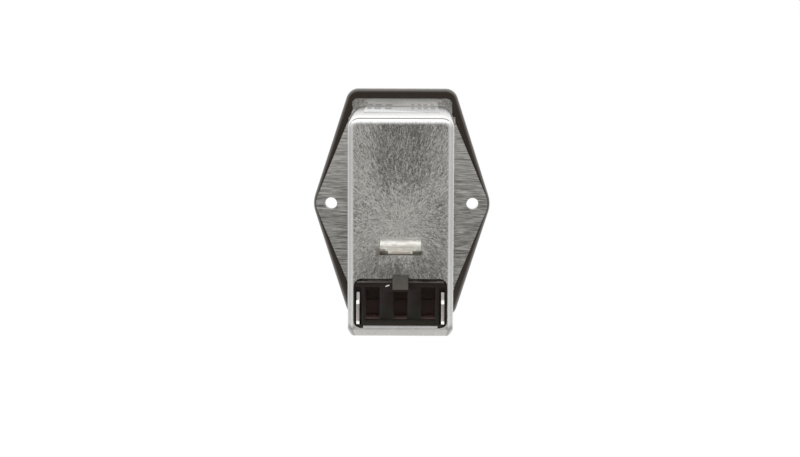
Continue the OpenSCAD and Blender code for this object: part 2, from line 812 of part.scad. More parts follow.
module fuse_glass(side) {
    glass_d = fuse_d - 2 * cap_t;
    color([0.85, 0.9, 0.92, 0.4])
    at_fuse(side) difference() {
        translate([0, 0, fuse_y + cap_t]) cylinder(d = glass_d, h = fuse_len - 2 * cap_t);
        translate([0, 0, fuse_y]) cylinder(d = glass_d - 1.2, h = fuse_len);
    }
}

module fuse_caps(side) {
    color([0.82, 0.82, 0.8])
    at_fuse(side)
        for (end = [0, 1])
            translate([0, 0, end == 0 ? fuse_y : fuse_end_y]) mirror([0, 0, end]) difference() {
                cylinder(d = fuse_d, h = cap_len);
                translate([0, 0, cap_t]) cylinder(d = fuse_d - 2 * cap_t, h = cap_len);
            }
}

module fuse_wire(side) {
    color([0.75, 0.72, 0.65])
    at_fuse(side) translate([0, 0, fuse_y + cap_t]) cylinder(d = 0.3, h = fuse_len - 2 * cap_t, $fn = 16);
}

// A contact strip that lies on the channel's floor or roof and bulges to touch one fuse cap
module fuse_clip(side, up, bulge_y) {
    flat = channel_h / 2;
    half_len = 1.6;
    color([0.8, 0.66, 0.4])
    translate([side * fuse_pitch / 2, 0, fuse_z]) mirror([0, 0, up > 0 ? 0 : 1])
        along_x(strip_w)
            polygon([
                [bulge_y - half_len, flat], [bulge_y - half_len, flat - strip_t],
                [bulge_y - 0.4, clip_touch], [bulge_y + 0.4, clip_touch],
                [bulge_y + half_len, flat - strip_t], [board_back_y + solder, flat - strip_t],
                [board_back_y + solder, flat], [bulge_y + half_len - 0.5, flat],
                [bulge_y + 0.3, clip_touch + strip_t], [bulge_y - 0.3, clip_touch + strip_t],
                [bulge_y - half_len + 0.5, flat]
            ]);
}

// ---------- switch ----------

// Turns a piece about the rocker's pivot
module rocker_pose(angle) {
    translate([0, pivot_y, switch_z]) rotate([angle, 0, 0]) children();
}

// The rocker's section, with two flat faces that meet over the pivot and round ends
module rocker_section() {
    centre_y = front_y - pivot_y;
    edge_y = centre_y - rocker_r * tan(rocker_tilt);
    intersection() {
        polygon([
            [centre_y, 0], [edge_y, rocker_r], [rocker_skirt_y, rocker_r],
            [rocker_skirt_y, -rocker_r], [edge_y, -rocker_r]
        ]);
        circle(r = rocker_r, $fn = 96);
    }
}

module rocker() {
    top_y = front_y - pivot_y + rocker_wall;
    inner = rocker_r - rocker_wall;
    color([0.1, 0.1, 0.1])
    rocker_pose(rocker_tilt) {
        difference() {
            along_x(rocker_w) rocker_section();
            bar(0, 0, rocker_w - 2 * rocker_wall, 2 * inner, top_y, rocker_skirt_y + CUT);
        }
        for (side = [LINE, NEUTRAL]) {
            translate([side * (rocker_w / 2 - rocker_wall / 2), 0, 0]) rotate([0, side * 90, 0])
                cylinder(d = pivot_d, h = rocker_wall / 2 + swing_fit + pivot_reach);
            translate([side * pole_x, top_y - rocker_wall / 2, 0]) rotate([-90, 0, 0]) difference() {
                cylinder(d = sleeve_d, h = sleeve_end_y - top_y + rocker_wall / 2);
                translate([0, 0, rocker_wall / 2]) cylinder(d = sleeve_bore, h = sleeve_end_y - top_y + CUT);
            }
        }
    }
}

module plunger(side) {
    neck_y = 2;
    color([0.88, 0.87, 0.82])
    rocker_pose(rocker_tilt) translate([side * pole_x, 0, 0]) rotate([-90, 0, 0]) {
        translate([0, 0, neck_y]) cylinder(d = 1.1, h = plunger_body_y - neck_y + EPS);
        translate([0, 0, plunger_body_y])
            cylinder(d = plunger_d, h = plunger_tip_y - plunger_d / 2 - plunger_body_y);
        translate([0, 0, plunger_tip_y - plunger_d / 2]) sphere(d = plunger_d);
    }
}

// Unit vectors across a path at one of its points
function across(tangent, reference) =
    let (t = tangent / norm(tangent), a = reference - (reference * t) * t, u = a / norm(a)) [u, cross(t, u)];

// A round wire of diameter d along the points, with a reference direction for each point
module wire(points, references, d, sides) {
    n = len(points);
    rings = [
        for (i = [0 : n - 1])
            let (frame = across(points[min(i + 1, n - 1)] - points[max(i - 1, 0)], references[i]))
            for (s = [0 : sides - 1])
                points[i] + d / 2 * (cos(360 * s / sides) * frame[0] + sin(360 * s / sides) * frame[1])
    ];
    walls = [
        for (i = [0 : n - 2], s = [0 : sides - 1])
            let (a = i * sides + s, b = i * sides + (s + 1) % sides) [a, a + sides, b + sides, b]
    ];
    start = [[for (s = [0 : sides - 1]) s]];
    finish = [[for (s = [sides - 1 : -1 : 0]) (n - 1) * sides + s]];
    polyhedron(rings, concat(start, walls, finish), convexity = 10);
}

module plunger_spring(side) {
    coil_d = 2;
    spring_wire = 0.3;
    coils = 6;
    per_coil = 14;
    y0 = front_y - pivot_y + rocker_wall + spring_wire;
    y1 = plunger_body_y - spring_wire;
    steps = coils * per_coil;
    points = [for (i = [0 : steps]) let (a = 360 * i / per_coil, y = y0 + (y1 - y0) * i / steps)
        [coil_d / 2 * cos(a), y, coil_d / 2 * sin(a)]];
    references = [for (i = [0 : steps]) [0, 1, 0]];
    color([0.75, 0.75, 0.75])
    rocker_pose(rocker_tilt) translate([side * pole_x, 0, 0]) wire(points, references, spring_wire, 6);
}

module lever(side) {
    half = lever_len / 2;
    color([0.8, 0.66, 0.4])
    translate([side * pole_x, lever_y, switch_z]) rotate([-lever_tilt, 0, 0]) {
        along_x(lever_w) polygon([
            [-lever_t / 2, -half], [lever_t / 2, -half], [lever_t / 2, -0.8], [0.05, 0], [lever_t / 2, 0.8],
            [lever_t / 2, half], [-lever_t / 2, half]
        ]);
        translate([0, lever_t / 2 - EPS, -half + 1.2]) rotate([-90, 0, 0]) cylinder(d = stud_d, h = 0.5);
    }
}

// The fixed post that a lever rocks on, and the strip that brings the current to it from the board
module pole_contact(side) {
    color([0.8, 0.66, 0.4])
    on_side(side) {
        edge_y = lever_y + 0.25;
        post_y = lever_y + 1.1;
        translate([pole_x, 0, switch_z]) along_x(pole_w)
            polygon([
                [edge_y, -0.15], [edge_y, 0.15], [post_y, pole_w / 2], [bus_y + bus_t, pole_w / 2],
                [bus_y + bus_t, -pole_w / 2], [post_y, -pole_w / 2]
            ]);
        bar(pole_x, (switch_z + strip_top) / 2, pole_w, strip_top - switch_z, bus_y, bus_y + bus_t);
        bar(pole_x, strip_top - bus_t / 2, pole_w, bus_t, bus_y, board_back_y + solder);
    }
}

// ---------- filter ----------

module lead_hole(x, z, d) {
    rod(x, z, d + 2 * lead_clear, board_y - CUT, board_back_y + CUT);
}

module circuit_board() {
    color([0.16, 0.36, 0.2])
    difference() {
        along_y(board_y, board_back_y) polygon(rounded_points(BOARD, 0, round_steps));
        for (i = [-1, 1])
            pin_place(i) bar(0, 0, tail_w + 2 * fit, tail_h + 2 * fit, board_y - CUT, board_back_y + CUT);
        clip_slots(board_y - CUT, board_back_y + CUT);
        for (side = [LINE, NEUTRAL]) {
            bar(side * pole_x, strip_top - bus_t / 2, pole_w + 2 * fit, bus_t + 2 * fit,
                board_y - CUT, board_back_y + CUT);
            lead_hole(side * xcap_lead_x, xcap_z, lead_d);
            lead_hole(side * resistor_lead_x, resistor_z, lead_d);
            for (x = [-1, 1]) lead_hole(side * ycap_x + x * ycap_lead_x, ycap_z, lead_d);
            for (z = [-1, 1]) lead_hole(side * winding_end_x, choke_z + z * winding_end_z, wire_d);
        }
    }
}

module choke_core() {
    color([0.24, 0.25, 0.27])
    translate([0, choke_y - core_h / 2, choke_z]) rotate([-90, 0, 0]) difference() {
        cylinder(d = core_d, h = core_h, $fn = 96);
        translate([0, 0, -CUT]) cylinder(d = core_bore, h = core_h + 2 * CUT, $fn = 96);
    }
}

// The plate in the core's bore that keeps the two windings apart
module choke_divider() {
    color([0.85, 0.82, 0.7])
    box(-divider_t / 2, divider_t / 2, board_back_y, choke_y + winding_half_h,
        choke_z - core_bore / 2 + fit, choke_z + core_bore / 2 - fit);
}

// Point k of a turn about the core's section, as [across, along]: each corner has three points
function turn_point(k) =
    let (corner = floor(k / 3) % 4, a = -90 + 90 * corner + 45 * (k % 3), reach = winding_gap + wire_d / 2)
    [
        (corner < 2 ? 1 : -1) * (core_d - core_bore) / 4 + reach * cos(a),
        (corner == 1 || corner == 2 ? 1 : -1) * core_h / 2 + reach * sin(a)
    ];

// A winding's wire, wound round the core's section and led down to the board at both ends
module winding(side) {
    first = 2;
    last = 12 * turns;
    span = winding_span;
    mid_r = (core_d + core_bore) / 4;
    lead_end = board_back_y - choke_y - solder;
    bend = 0.3;
    phi_at = function (i) span * (2 * (i - first) / (last - first) - 1);
    spot = function (i) let (t = turn_point(i), phi = phi_at(i))
        [(mid_r + t[0]) * cos(phi), t[1], (mid_r + t[0]) * sin(phi)];
    points = concat(
        [[winding_end_x, lead_end, -winding_end_z]],
        [for (i = [first : last]) spot(i)],
        [[winding_end_x, -winding_half_h - bend, winding_end_z], [winding_end_x, lead_end, winding_end_z]]
    );
    reference = function (phi) [-sin(phi), 0, cos(phi)];
    references = concat(
        [reference(-span)],
        [for (i = [first : last]) reference(phi_at(i))],
        [reference(span), reference(span)]
    );
    color([0.72, 0.38, 0.16])
    on_side(side) translate([0, choke_y, choke_z]) wire(points, references, wire_d, 8);
}

module lead(x, y, z) {
    rod(x, z, lead_d, board_y, y);
}

module x_capacitor() {
    y0 = board_back_y + fit;
    color([0.85, 0.72, 0.2]) {
        box(-xcap_w / 2, xcap_w / 2, y0, y0 + xcap_d, xcap_z - xcap_h / 2, xcap_z + xcap_h / 2);
        for (x = [-1, 1]) lead(x * xcap_lead_x, y0 + 1, xcap_z);
    }
}

module y_capacitor(side) {
    y0 = board_back_y + ycap_lift + ycap_d / 2;
    color([0.15, 0.35, 0.7]) {
        translate([side * ycap_x, y0, ycap_z]) cylinder(d = ycap_d, h = ycap_t, center = true);
        for (x = [-1, 1]) lead(side * ycap_x + x * ycap_lead_x, y0 - 2, ycap_z);
    }
}

module discharge_resistor() {
    y0 = board_back_y + fit + resistor_d / 2;
    color([0.8, 0.72, 0.55]) {
        translate([0, y0, resistor_z]) rotate([0, 90, 0])
            cylinder(d = resistor_d, h = resistor_len, center = true);
        translate([0, y0, resistor_z]) rotate([0, 90, 0])
            cylinder(d = lead_d, h = 2 * resistor_lead_x + lead_d, center = true, $fn = 24);
        for (x = [-1, 1]) lead(x * resistor_lead_x, y0, resistor_z);
    }
}

bezel_housing();
shield_plate();
filter_can();
label();
insulation_liner();
terminal_block();
output_blade(LINE);  // line_blade
output_blade(NEUTRAL);  // neutral_blade
earth_tab();
inlet_pin(LINE);  // line_pin
inlet_pin(NEUTRAL);  // neutral_pin
inlet_pin(0);  // earth_pin
earth_strap();
fuse_drawer();
fuse_glass(LINE);  // line_fuse_glass
fuse_caps(LINE);  // line_fuse_caps
fuse_wire(LINE);  // line_fuse_wire
fuse_glass(NEUTRAL);  // neutral_fuse_glass
fuse_caps(NEUTRAL);  // neutral_fuse_caps
fuse_wire(NEUTRAL);  // neutral_fuse_wire
fuse_clip(LINE, -1, fuse_y + cap_len / 2);  // line_front_clip
fuse_clip(LINE, 1, fuse_end_y - cap_len / 2);  // line_rear_clip
fuse_clip(NEUTRAL, -1, fuse_y + cap_len / 2);  // neutral_front_clip
fuse_clip(NEUTRAL, 1, fuse_end_y - cap_len / 2);  // neutral_rear_clip
rocker();
plunger(LINE);  // line_plunger
plunger(NEUTRAL);  // neutral_plunger
plunger_spring(LINE);  // line_spring
plunger_spring(NEUTRAL);  // neutral_spring
lever(LINE);  // line_lever
lever(NEUTRAL);  // neutral_lever
pole_contact(LINE);  // line_pole_contact
pole_contact(NEUTRAL);  // neutral_pole_contact
circuit_board();
choke_core();
choke_divider();
winding(LINE);  // line_winding
winding(NEUTRAL);  // neutral_winding
x_capacitor();
y_capacitor(LINE);  // line_y_capacitor
y_capacitor(NEUTRAL);  // neutral_y_capacitor
discharge_resistor();
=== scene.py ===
"""Mains power entry module with a line filter: finishes, fine shapes and studio.

Everything is in metres in the module's own frame: the origin lies midway between the
two screw holes on the plate's rear face, +X along the screws, +Y into the equipment
and +Z up.  Finishes work in millimetres, which is what the helper scales them to.
"""

import math

import bmesh
import bpy
from mathutils import Matrix, Vector
from mathutils.bvhtree import BVHTree


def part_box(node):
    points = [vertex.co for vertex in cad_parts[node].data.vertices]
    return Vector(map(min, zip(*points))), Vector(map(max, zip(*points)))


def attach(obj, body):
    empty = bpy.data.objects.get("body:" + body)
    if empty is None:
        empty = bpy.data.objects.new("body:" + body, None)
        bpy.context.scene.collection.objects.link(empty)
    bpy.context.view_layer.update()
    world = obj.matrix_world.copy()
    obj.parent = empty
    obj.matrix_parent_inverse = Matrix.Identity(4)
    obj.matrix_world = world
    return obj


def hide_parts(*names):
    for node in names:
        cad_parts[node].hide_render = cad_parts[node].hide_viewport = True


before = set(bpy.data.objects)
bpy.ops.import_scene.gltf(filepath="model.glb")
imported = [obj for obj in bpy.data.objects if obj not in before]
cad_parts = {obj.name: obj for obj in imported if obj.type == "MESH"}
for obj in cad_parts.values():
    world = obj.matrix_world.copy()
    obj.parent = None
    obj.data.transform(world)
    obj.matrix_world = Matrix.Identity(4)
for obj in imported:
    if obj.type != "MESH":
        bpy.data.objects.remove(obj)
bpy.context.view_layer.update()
MM = 0.001


def node_box(node):
    """A node's lowest and highest corner in millimetres."""
    low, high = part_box(node)
    return low / MM, high / MM


# ---------------------------------------------------------------- camera

def place_camera():
    """A long lens a little above the screw line, looking at the rear of the can."""
    data = bpy.data.cameras.new("camera")
    data.lens = 87.45
    data.sensor_width = 36
    data.clip_start = 0.01
    camera = bpy.data.objects.new("camera", data)
    bpy.context.scene.collection.objects.link(camera)
    eye = Vector((-0.003205, 0.546889, 0.056141))
    aim = Vector((0.000326, 0.020, -0.004776)) - eye
    roll = Matrix.Rotation(math.radians(0.209), 4, "Z")
    camera.matrix_world = Matrix.Translation(eye) @ aim.to_track_quat("-Z", "Y").to_matrix().to_4x4() @ roll
    bpy.context.scene.camera = camera


place_camera()


# ---------------------------------------------------------------- finishes

class Value:
    """A shader socket that takes part in Python sums."""

    def __init__(self, finish, socket):
        self.finish = finish
        self.socket = socket

    def math(self, operation, *terms):
        return self.finish.node("ShaderNodeMath", {"operation": operation}, dict(enumerate(terms)))

    def __add__(self, other):
        return self.math("ADD", self, other)

    def __sub__(self, other):
        return self.math("SUBTRACT", self, other)

    def __rsub__(self, other):
        return self.math("SUBTRACT", other, self)

    def __mul__(self, other):
        return self.math("MULTIPLY", self, other)

    def __truediv__(self, other):
        return self.math("DIVIDE", self, other)

    def __pow__(self, other):
        return self.math("POWER", self, other)

    def __abs__(self):
        return self.math("ABSOLUTE", self)

    __radd__ = __add__
    __rmul__ = __mul__

    def most(self, other):
        return self.math("MAXIMUM", self, other)

    def least(self, other):
        return self.math("MINIMUM", self, other)

    def rise(self, low, high):
        """0 below low and 1 above high, turning smoothly; low above high makes it fall."""
        if low > high:
            return 1 - self.rise(high, low)
        ends = {"Value": self, "From Min": low, "From Max": high}
        return self.finish.node("ShaderNodeMapRange", {"interpolation_type": "SMOOTHSTEP"}, ends)

    def band(self, low, high, soft):
        """1 between low and high, 0 outside, over a soft edge."""
        return self.rise(low - soft, low + soft) * self.rise(high + soft, high - soft)


class Finish:
    """A material and the tools that write its shader."""

    def __init__(self, name, tree=None):
        if tree is None:
            self.material = bpy.data.materials.new(name)
            self.material.use_nodes = True
            tree = self.material.node_tree
        self.tree = tree
        tree.nodes.clear()

    def node(self, kind, settings=None, inputs=None, output=0):
        made = self.tree.nodes.new(kind)
        for key, value in (settings or {}).items():
            setattr(made, key, value)
        for key, value in (inputs or {}).items():
            if isinstance(value, Value):
                self.tree.links.new(value.socket, made.inputs[key])
            else:
                made.inputs[key].default_value = value
        return Value(self, made.outputs[output] if made.outputs else None)

    def place(self):
        """Object coordinates in millimetres, as a vector and as x, y and z."""
        spot = self.node("ShaderNodeTexCoord", output="Object")
        mm = self.node("ShaderNodeVectorMath", {"operation": "SCALE"}, {0: spot, "Scale": 1 / MM})
        return (mm,) + self.split(mm)

    def split(self, vector):
        made = self.tree.nodes.new("ShaderNodeSeparateXYZ")
        self.tree.links.new(vector.socket, made.inputs[0])
        return tuple(Value(self, made.outputs[i]) for i in range(3))

    def join(self, x, y, z):
        return self.node("ShaderNodeCombineXYZ", None, {0: x, 1: y, 2: z})

    def stretch(self, x, y, z, sx, sy, sz):
        return self.join(x * sx, y * sy, z * sz)

    def noise(self, vector, scale=1.0, detail=2.0, roughness=0.5, distortion=0.0):
        look = {"Scale": scale, "Detail": detail, "Roughness": roughness, "Distortion": distortion}
        return self.node("ShaderNodeTexNoise", None, {"Vector": vector, **look})

    def mix(self, factor, a, b):
        """Colour a where factor is 0 and colour b where it is 1."""
        return self.node("ShaderNodeMix", {"data_type": "RGBA"}, {0: factor, 6: colour(a), 7: colour(b)}, 2)

    def bump(self, height, distance, strength=1.0, under=None):
        inputs = {"Height": height, "Distance": distance * MM, "Strength": strength}
        if under is not None:
            inputs["Normal"] = under
        return self.node("ShaderNodeBump", None, inputs)

    def shade(self, **sockets):
        """Ends the material in a Principled shader; names are its sockets with _ for spaces."""
        inputs = {key.replace("_", " "): value for key, value in sockets.items()}
        if "Base Color" in inputs:
            inputs["Base Color"] = colour(inputs["Base Color"])
        self.finish_with(self.node("ShaderNodeBsdfPrincipled", None, inputs))
        return self.material

    def finish_with(self, shader, kind="ShaderNodeOutputMaterial"):
        self.node(kind, None, {"Surface": shader})


def colour(value):
    """A colour as a shader input takes it: a socket as it is, three numbers with full opacity."""
    if isinstance(value, Value) or len(value) == 4:
        return value
    return (*value, 1.0)


DIMPLE_FROM_TIP = 4.0  # from the earth tab's tip to the middle of its dimple


def drawn_steel():
    """The can: tin-bright steel, with rubbing marks running outwards on its rear face and along its sides,
    and painted reflection and painted shade.
    """
    f = Finish("drawn_steel")
    mm, x, y, z = f.place()
    can_low, can_high = node_box("filter_can")
    rear_y, bottom = can_high.y, can_low.z
    burst_z = -1.0  # the rubbing runs outwards from here
    dz = z - burst_z
    r = (x * x + dz * dz) ** 0.5
    far = r.most(0.4)
    ux, uz = x / far, dz / far
    warp = f.noise(mm, 0.3, 2, 0.5)
    radial = None
    # Each ring further out has more streaks round it, so that they keep one width
    for turns, reach, length in ((9, 0.0, 1.0), (21, 5.0, 1.0), (44, 12.5, 0.95), (80, 20.0, 0.9)):
        streak = f.noise(f.join(ux * turns, uz * turns, r * length + warp * 3.0), 1.0, 3.5, 0.75, 0.9)
        if radial is None:
            radial = streak
        else:
            further = r.rise(reach - 2.0, reach + 2.0)
            radial = f.node("ShaderNodeMix", None, {0: further, 2: radial, 3: streak})
    speck = f.noise(mm, 2.6, 4, 0.8, 0.8)
    pricks = f.noise(f.stretch(x, y, z, 2.4, 1.0, 2.0), 1.0, 2, 0.8).rise(0.60, 0.72)
    cloud = f.noise(f.stretch(x, y, z, 0.11, 0.05, 0.11), 1.0, 3, 0.55)
    sides = f.noise(f.stretch(x, y, z, 2.6, 0.10, 2.6), 1.0, 3, 0.6)
    ragged = (radial - 0.5) * 0.3 * z.rise(24.0, 25.4)
    rear = (y + ragged).rise(rear_y - 0.14, rear_y - 0.01) * z.rise(bottom + 2.1, bottom + 2.6)
    # Painted reflection: the rear face is darker in a wedge above the middle and below it, on the -X side
    # and towards the bottom, and lighter round the middle, towards both sides in the upper half and in a
    # narrow upright strip below the middle, standing in for the sheen of the radial rubbing
    dark_reflection_fan = (uz - 0.45 * abs(ux)).rise(0.3, 0.95) * r.rise(7.0, 15.0)
    below = (0 - uz).rise(0.5, 0.98) * r.rise(7.0, 12.0)
    right_side_shade = (0 - x).rise(1.0, 11.0)
    drawn = x.band(-0.4, 0.9, 0.5) * dz.band(-7.0, -1.0, 1.5)
    broad = (cloud - 0.5) * 0.5 - dark_reflection_fan * 0.34 - below * 0.3 - right_side_shade * 0.14
    broad = broad - z.rise(2.0, -15.0) * 0.06 + drawn * 0.12
    broad = broad + r.rise(12.0, 3.0) * 0.2 + abs(x).rise(4.0, 9.0) * z.rise(2.0, 12.0) * 0.32
    grip = 1 - z.rise(4.0, -10.0) * 0.25
    marks = x.band(0.2, 1.2, 0.3) * -0.16 + x.band(1.5, 2.1, 0.3) * 0.10
    broad = broad + marks * z.band(-14.6, -9.6, 0.8)
    tone = ((radial - 0.5) * 4.3 + (speck - 0.5) * 2.4) * grip + broad + 0.58 - pricks * 0.22
    # Painted shade: the walls darken towards the bottom edge and a little at both sides
    wall = (sides - 0.5) * 0.3 + (cloud - 0.5) * 0.2 + 0.80 - z.rise(bottom + 2.7, bottom + 1.1) * 0.52
    wall = wall - abs(x).rise(11.8, 12.8) * 0.06
    # Painted highlight: the top's rounding is lighter towards the rear; painted shade, mottled by the
    # streaks, darkens it where it turns into the rear face
    top_edge = z.rise(24.0, 25.0)
    rounding_edge_shade = y.rise(rear_y - 0.45, rear_y - 0.15) * top_edge
    bright = y.rise(rear_y - 0.7, rear_y - 0.6) * top_edge
    wall = wall + bright * 0.2 - rounding_edge_shade * (0.22 + (0.5 - radial) * 2.0)
    nicks = f.noise(f.stretch(x, y, z, 6.0, 1.0, 0.5), 1.0, 2, 0.6) - 0.5
    edge_marks = abs(x).rise(10.4, 11.4) * nicks * 0.8
    shade = f.node("ShaderNodeMix", None, {0: rear, 2: wall, 3: (tone + edge_marks).most(0.0).least(1.1)})
    light = f.mix(rear, (0.98, 0.975, 0.965), (1.0, 0.968, 0.908))
    base = f.mix(shade, (0.25, 0.24, 0.222), light)
    # Painted shade: a dark line along the groove where the top's rear rounding starts, and a fainter
    # diagonal one at each pinched lower corner
    crease = y.band(rear_y - 0.9, rear_y - 0.72, 0.04) * z.rise(25.9, 26.3)
    off_fold = abs(abs(x) - 12.2 - (z + 29.8) * 0.46)
    fold_shade = off_fold.rise(0.24, 0.08) * z.rise(-26.4, -27.6) * y.rise(42.6, 43.2)
    base = f.mix((crease * 0.75 + fold_shade * 0.3).least(1.0), base, (0.03, 0.03, 0.03))
    stain = x.band(4.9, 6.5, 0.5) * z.band(-9.2, -6.9, 0.5) * rear * cloud.rise(0.2, 0.5)
    base = f.mix(stain * 0.75, base, (0.20, 0.14, 0.10))
    rub = f.bump(radial * 0.8 + speck * 0.35, 0.022, rear * 0.8)
    grain = f.bump(sides, 0.012, 0.6, rub)
    return f.shade(
        Base_Color=base, Metallic=1 - crease * 0.8, Roughness=0.26 + speck * 0.1 + crease * 0.4, Normal=grain
    )


def brushed_steel():
    """The shield plate: steel brushed along the screw line, with a clean bright strip over the can."""
    f = Finish("brushed_steel")
    mm, x, y, z = f.place()
    fine = f.noise(f.stretch(x, y, z, 0.2, 0.4, 4.6), 1.0, 3, 0.7)
    broad = f.noise(f.stretch(x, y, z, 0.06, 0.4, 1.3), 1.0, 3, 0.6)
    smudge = f.noise(mm, 0.16, 3, 0.55, 0.6)
    scratch = f.noise(f.stretch(x, y, z, 0.35, 0.4, 9.0), 1.0, 1, 0.5)
    can_top = node_box("filter_can")[1].z
    clean = z.rise(can_top - 0.4, can_top + 0.2)
    tone = (fine - 0.5) * 3.0 + (broad - 0.5) * 1.0 + (smudge - 0.5) * 0.3 + 0.42
    # Painted shade: the plate darkens a little towards the bottom
    tone = tone - z.rise(6.0, -12.0) * 0.08
    tone = tone + clean * (0.75 - tone) * 0.8 - scratch.rise(0.64, 0.74) * 0.35 * (1 - clean)
    # Painted light: the plate is lighter towards the top, outside the clean strip
    tone = tone + z.rise(2.0, 14.0) * (1 - clean) * 0.22
    mottle = (f.noise(mm, 1.5, 3, 0.8) - 0.5) * 2.4 - 0.12
    tone = tone + clean * abs(x).rise(8.5, 10.5) * mottle
    base = f.mix(tone, (0.17, 0.165, 0.152), (0.88, 0.86, 0.815))
    grain = f.bump(fine * 0.7 + scratch * 0.5, 0.012, (1 - clean * 0.99) * 0.8)
    dull = (0.38 + smudge * 0.12) * (1 - clean * 0.94)
    return f.shade(Base_Color=base, Metallic=1.0, Roughness=dull, Normal=grain)


def label_stock():
    """White label film with plain printed fields."""
    f = Finish("label_stock")
    mm, x, y = f.place()[:3]
    fibre = f.noise(mm, 1.3, 3, 0.6)
    blur, margin = 0.06, 9.2
    left_bars = ((8.4, 9.6), (5.8, 7.6), (2.8, 4.7))
    right_bars = ((-3.4, -2.6), (-5.4, -4.4), (-7.2, -6.0), (-margin, -8.0))
    bars = x * 0
    for x0, x1 in left_bars + right_bars:
        bars = bars + x.band(x0, x1, blur)
    rows = bars * (y.band(5.0, 8.4, blur) + y.band(9.6, 13.6, blur))
    dashed_rows = (
        (15.5, 16.5, -margin, margin, 0.95),
        (18.2, 19.0, -margin, 3.5, 0.8),
        (20.6, 21.4, -margin, 6.0, 1.1),
        (25.0, 26.0, -4.0, margin, 0.9),
        (27.6, 28.3, -7.5, margin, 0.75),
    )
    for y0, y1, x0, x1, pitch in dashed_rows:
        dashes = f.node("ShaderNodeMath", {"operation": "FRACT"}, {0: x / pitch}).band(0.12, 0.74, 0.05)
        rows = rows + y.band(y0, y1, blur) * x.band(x0, x1, blur) * dashes
    ink = rows.least(1.0) * (0.5 + fibre * 0.25)
    base = f.mix(ink, f.mix(fibre, (0.66, 0.67, 0.665), (0.74, 0.745, 0.74)), (0.06, 0.06, 0.07))
    return f.shade(
        Base_Color=base, Roughness=0.42 + fibre * 0.12, Coat_Weight=0.5, Coat_Roughness=0.2,
        Normal=f.bump(fibre, 0.006, 0.4),
    )


def moulded(name, base_dark, base_light, roughness, grain=1.0, dust=0.0):
    """A moulded thermoplastic with spark-eroded texture, faint flow marks and worn-in dust."""
    f = Finish(name)
    mm, x, y, z = f.place()
    pits = f.noise(mm, 5.5, 3, 0.6)
    flow = f.noise(f.stretch(x, y, z, 0.25, 0.15, 0.12), 1.0, 3, 0.55, 0.5)
    motes = f.noise(mm, 3.1, 2, 0.6).rise(0.64, 0.74)
    base = f.mix(flow, base_dark, base_light)
    base = f.mix(motes * dust, base, (0.28, 0.26, 0.23))
    return f.shade(
        Base_Color=base, Roughness=roughness + (pits - 0.5) * 0.16 + motes * dust * 0.3,
        Normal=f.bump(pits, 0.018 * grain, 0.55),
    )


def flange_moulding():
    """The flange: warm black and finely grained, with a painted grey sheen where its edges are rounded."""
    f = Finish("flange_moulding")
    mm, x, y, z = f.place()
    pits = f.noise(mm, 5.5, 3, 0.6)
    flow = f.noise(f.stretch(x, y, z, 0.25, 0.15, 0.12), 1.0, 3, 0.55, 0.5)
    motes = f.noise(mm, 3.1, 2, 0.6).rise(0.66, 0.76)
    # Painted sheen: where the edges are rounded the base turns a lighter grey under a thin coat
    rounded = y.rise(-0.105, -0.42) * y.rise(-4.9, -4.4)
    base = f.mix(flow, (0.026, 0.0155, 0.0085), (0.036, 0.0225, 0.0135))
    base = f.mix(rounded * (0.75 + flow * 0.25), base, (0.145, 0.134, 0.122))
    base = f.mix(motes * 0.06, base, (0.28, 0.26, 0.23))
    return f.shade(
        Base_Color=base, Roughness=0.34 + (pits - 0.5) * 0.16, Coat_Weight=rounded * 0.6, Coat_Roughness=0.3,
        Normal=f.bump(pits, 0.014, 0.5),
    )


def block_moulding():
    """The terminal block: brown-black, lighter and redder in its pockets by painted light, with a painted
    grey sheen on its hook and top strip.
    """
    f = Finish("block_moulding")
    mm, x, y, z = f.place()
    pits = f.noise(mm, 4.5, 3, 0.6)
    flow = f.noise(f.stretch(x, y, z, 0.5, 0.2, 0.25), 1.0, 3, 0.6, 0.6)
    base = f.mix(flow, (0.014, 0.0073, 0.006), (0.022, 0.0125, 0.0105))
    base = f.mix(z.rise(-21.0, -23.5) * y.rise(43.0, 43.6), base, (0.021, 0.0188, 0.0145))
    # Painted light: the deep pockets get a lighter red-brown base, lightest low down, in place of light that
    # their shade keeps out
    deep = y.rise(43.4, 42.2)
    low = z.rise(-20.5, -24.0)
    pocket_fill_light = f.mix(low, (0.24, 0.17, 0.145), (0.38, 0.27, 0.235))
    base = f.mix(deep * z.rise(-26.75, -26.25), base, pocket_fill_light)
    sill = z.rise(-26.0, -26.6) * z.rise(-27.9, -27.4)
    base = f.mix(sill * 0.7, base, (0.030, 0.022, 0.014))
    # Painted sheen: the top strip is a lighter grey, lightest towards its ends
    upper = z.rise(-16.25, -16.1) * y.rise(44.85, 44.75)
    top_strip_sheen = f.mix(flow + abs(x).rise(8.0, 10.5) * 0.8, (0.075, 0.067, 0.058), (0.17, 0.155, 0.14))
    base = f.mix(upper, base, top_strip_sheen)
    # Painted shadow: a dark wavy line along the top of the strip, where it meets the can
    wavy = f.noise(f.stretch(x, y, z, 0.35, 0.1, 0.1), 1.0, 2, 0.6) - 0.5
    gap_shadow = (z + wavy * 0.9).rise(-15.8, -15.7)
    base = f.mix(upper * gap_shadow * 0.92, base, (0.006, 0.005, 0.005))
    # Painted sheen: the hook is a lighter grey than the block around it
    hook = y.rise(44.95, 45.1) + y.rise(44.3, 44.5) * z.rise(-15.5, -15.2)
    base = f.mix(hook.least(1.0), base, f.mix(flow, (0.095, 0.086, 0.072), (0.155, 0.141, 0.122)))
    return f.shade(
        Base_Color=base, Roughness=0.42 + (pits - 0.5) * 0.2, Specular_IOR_Level=0.25,
        Normal=f.bump(pits, 0.014, 0.5),
    )


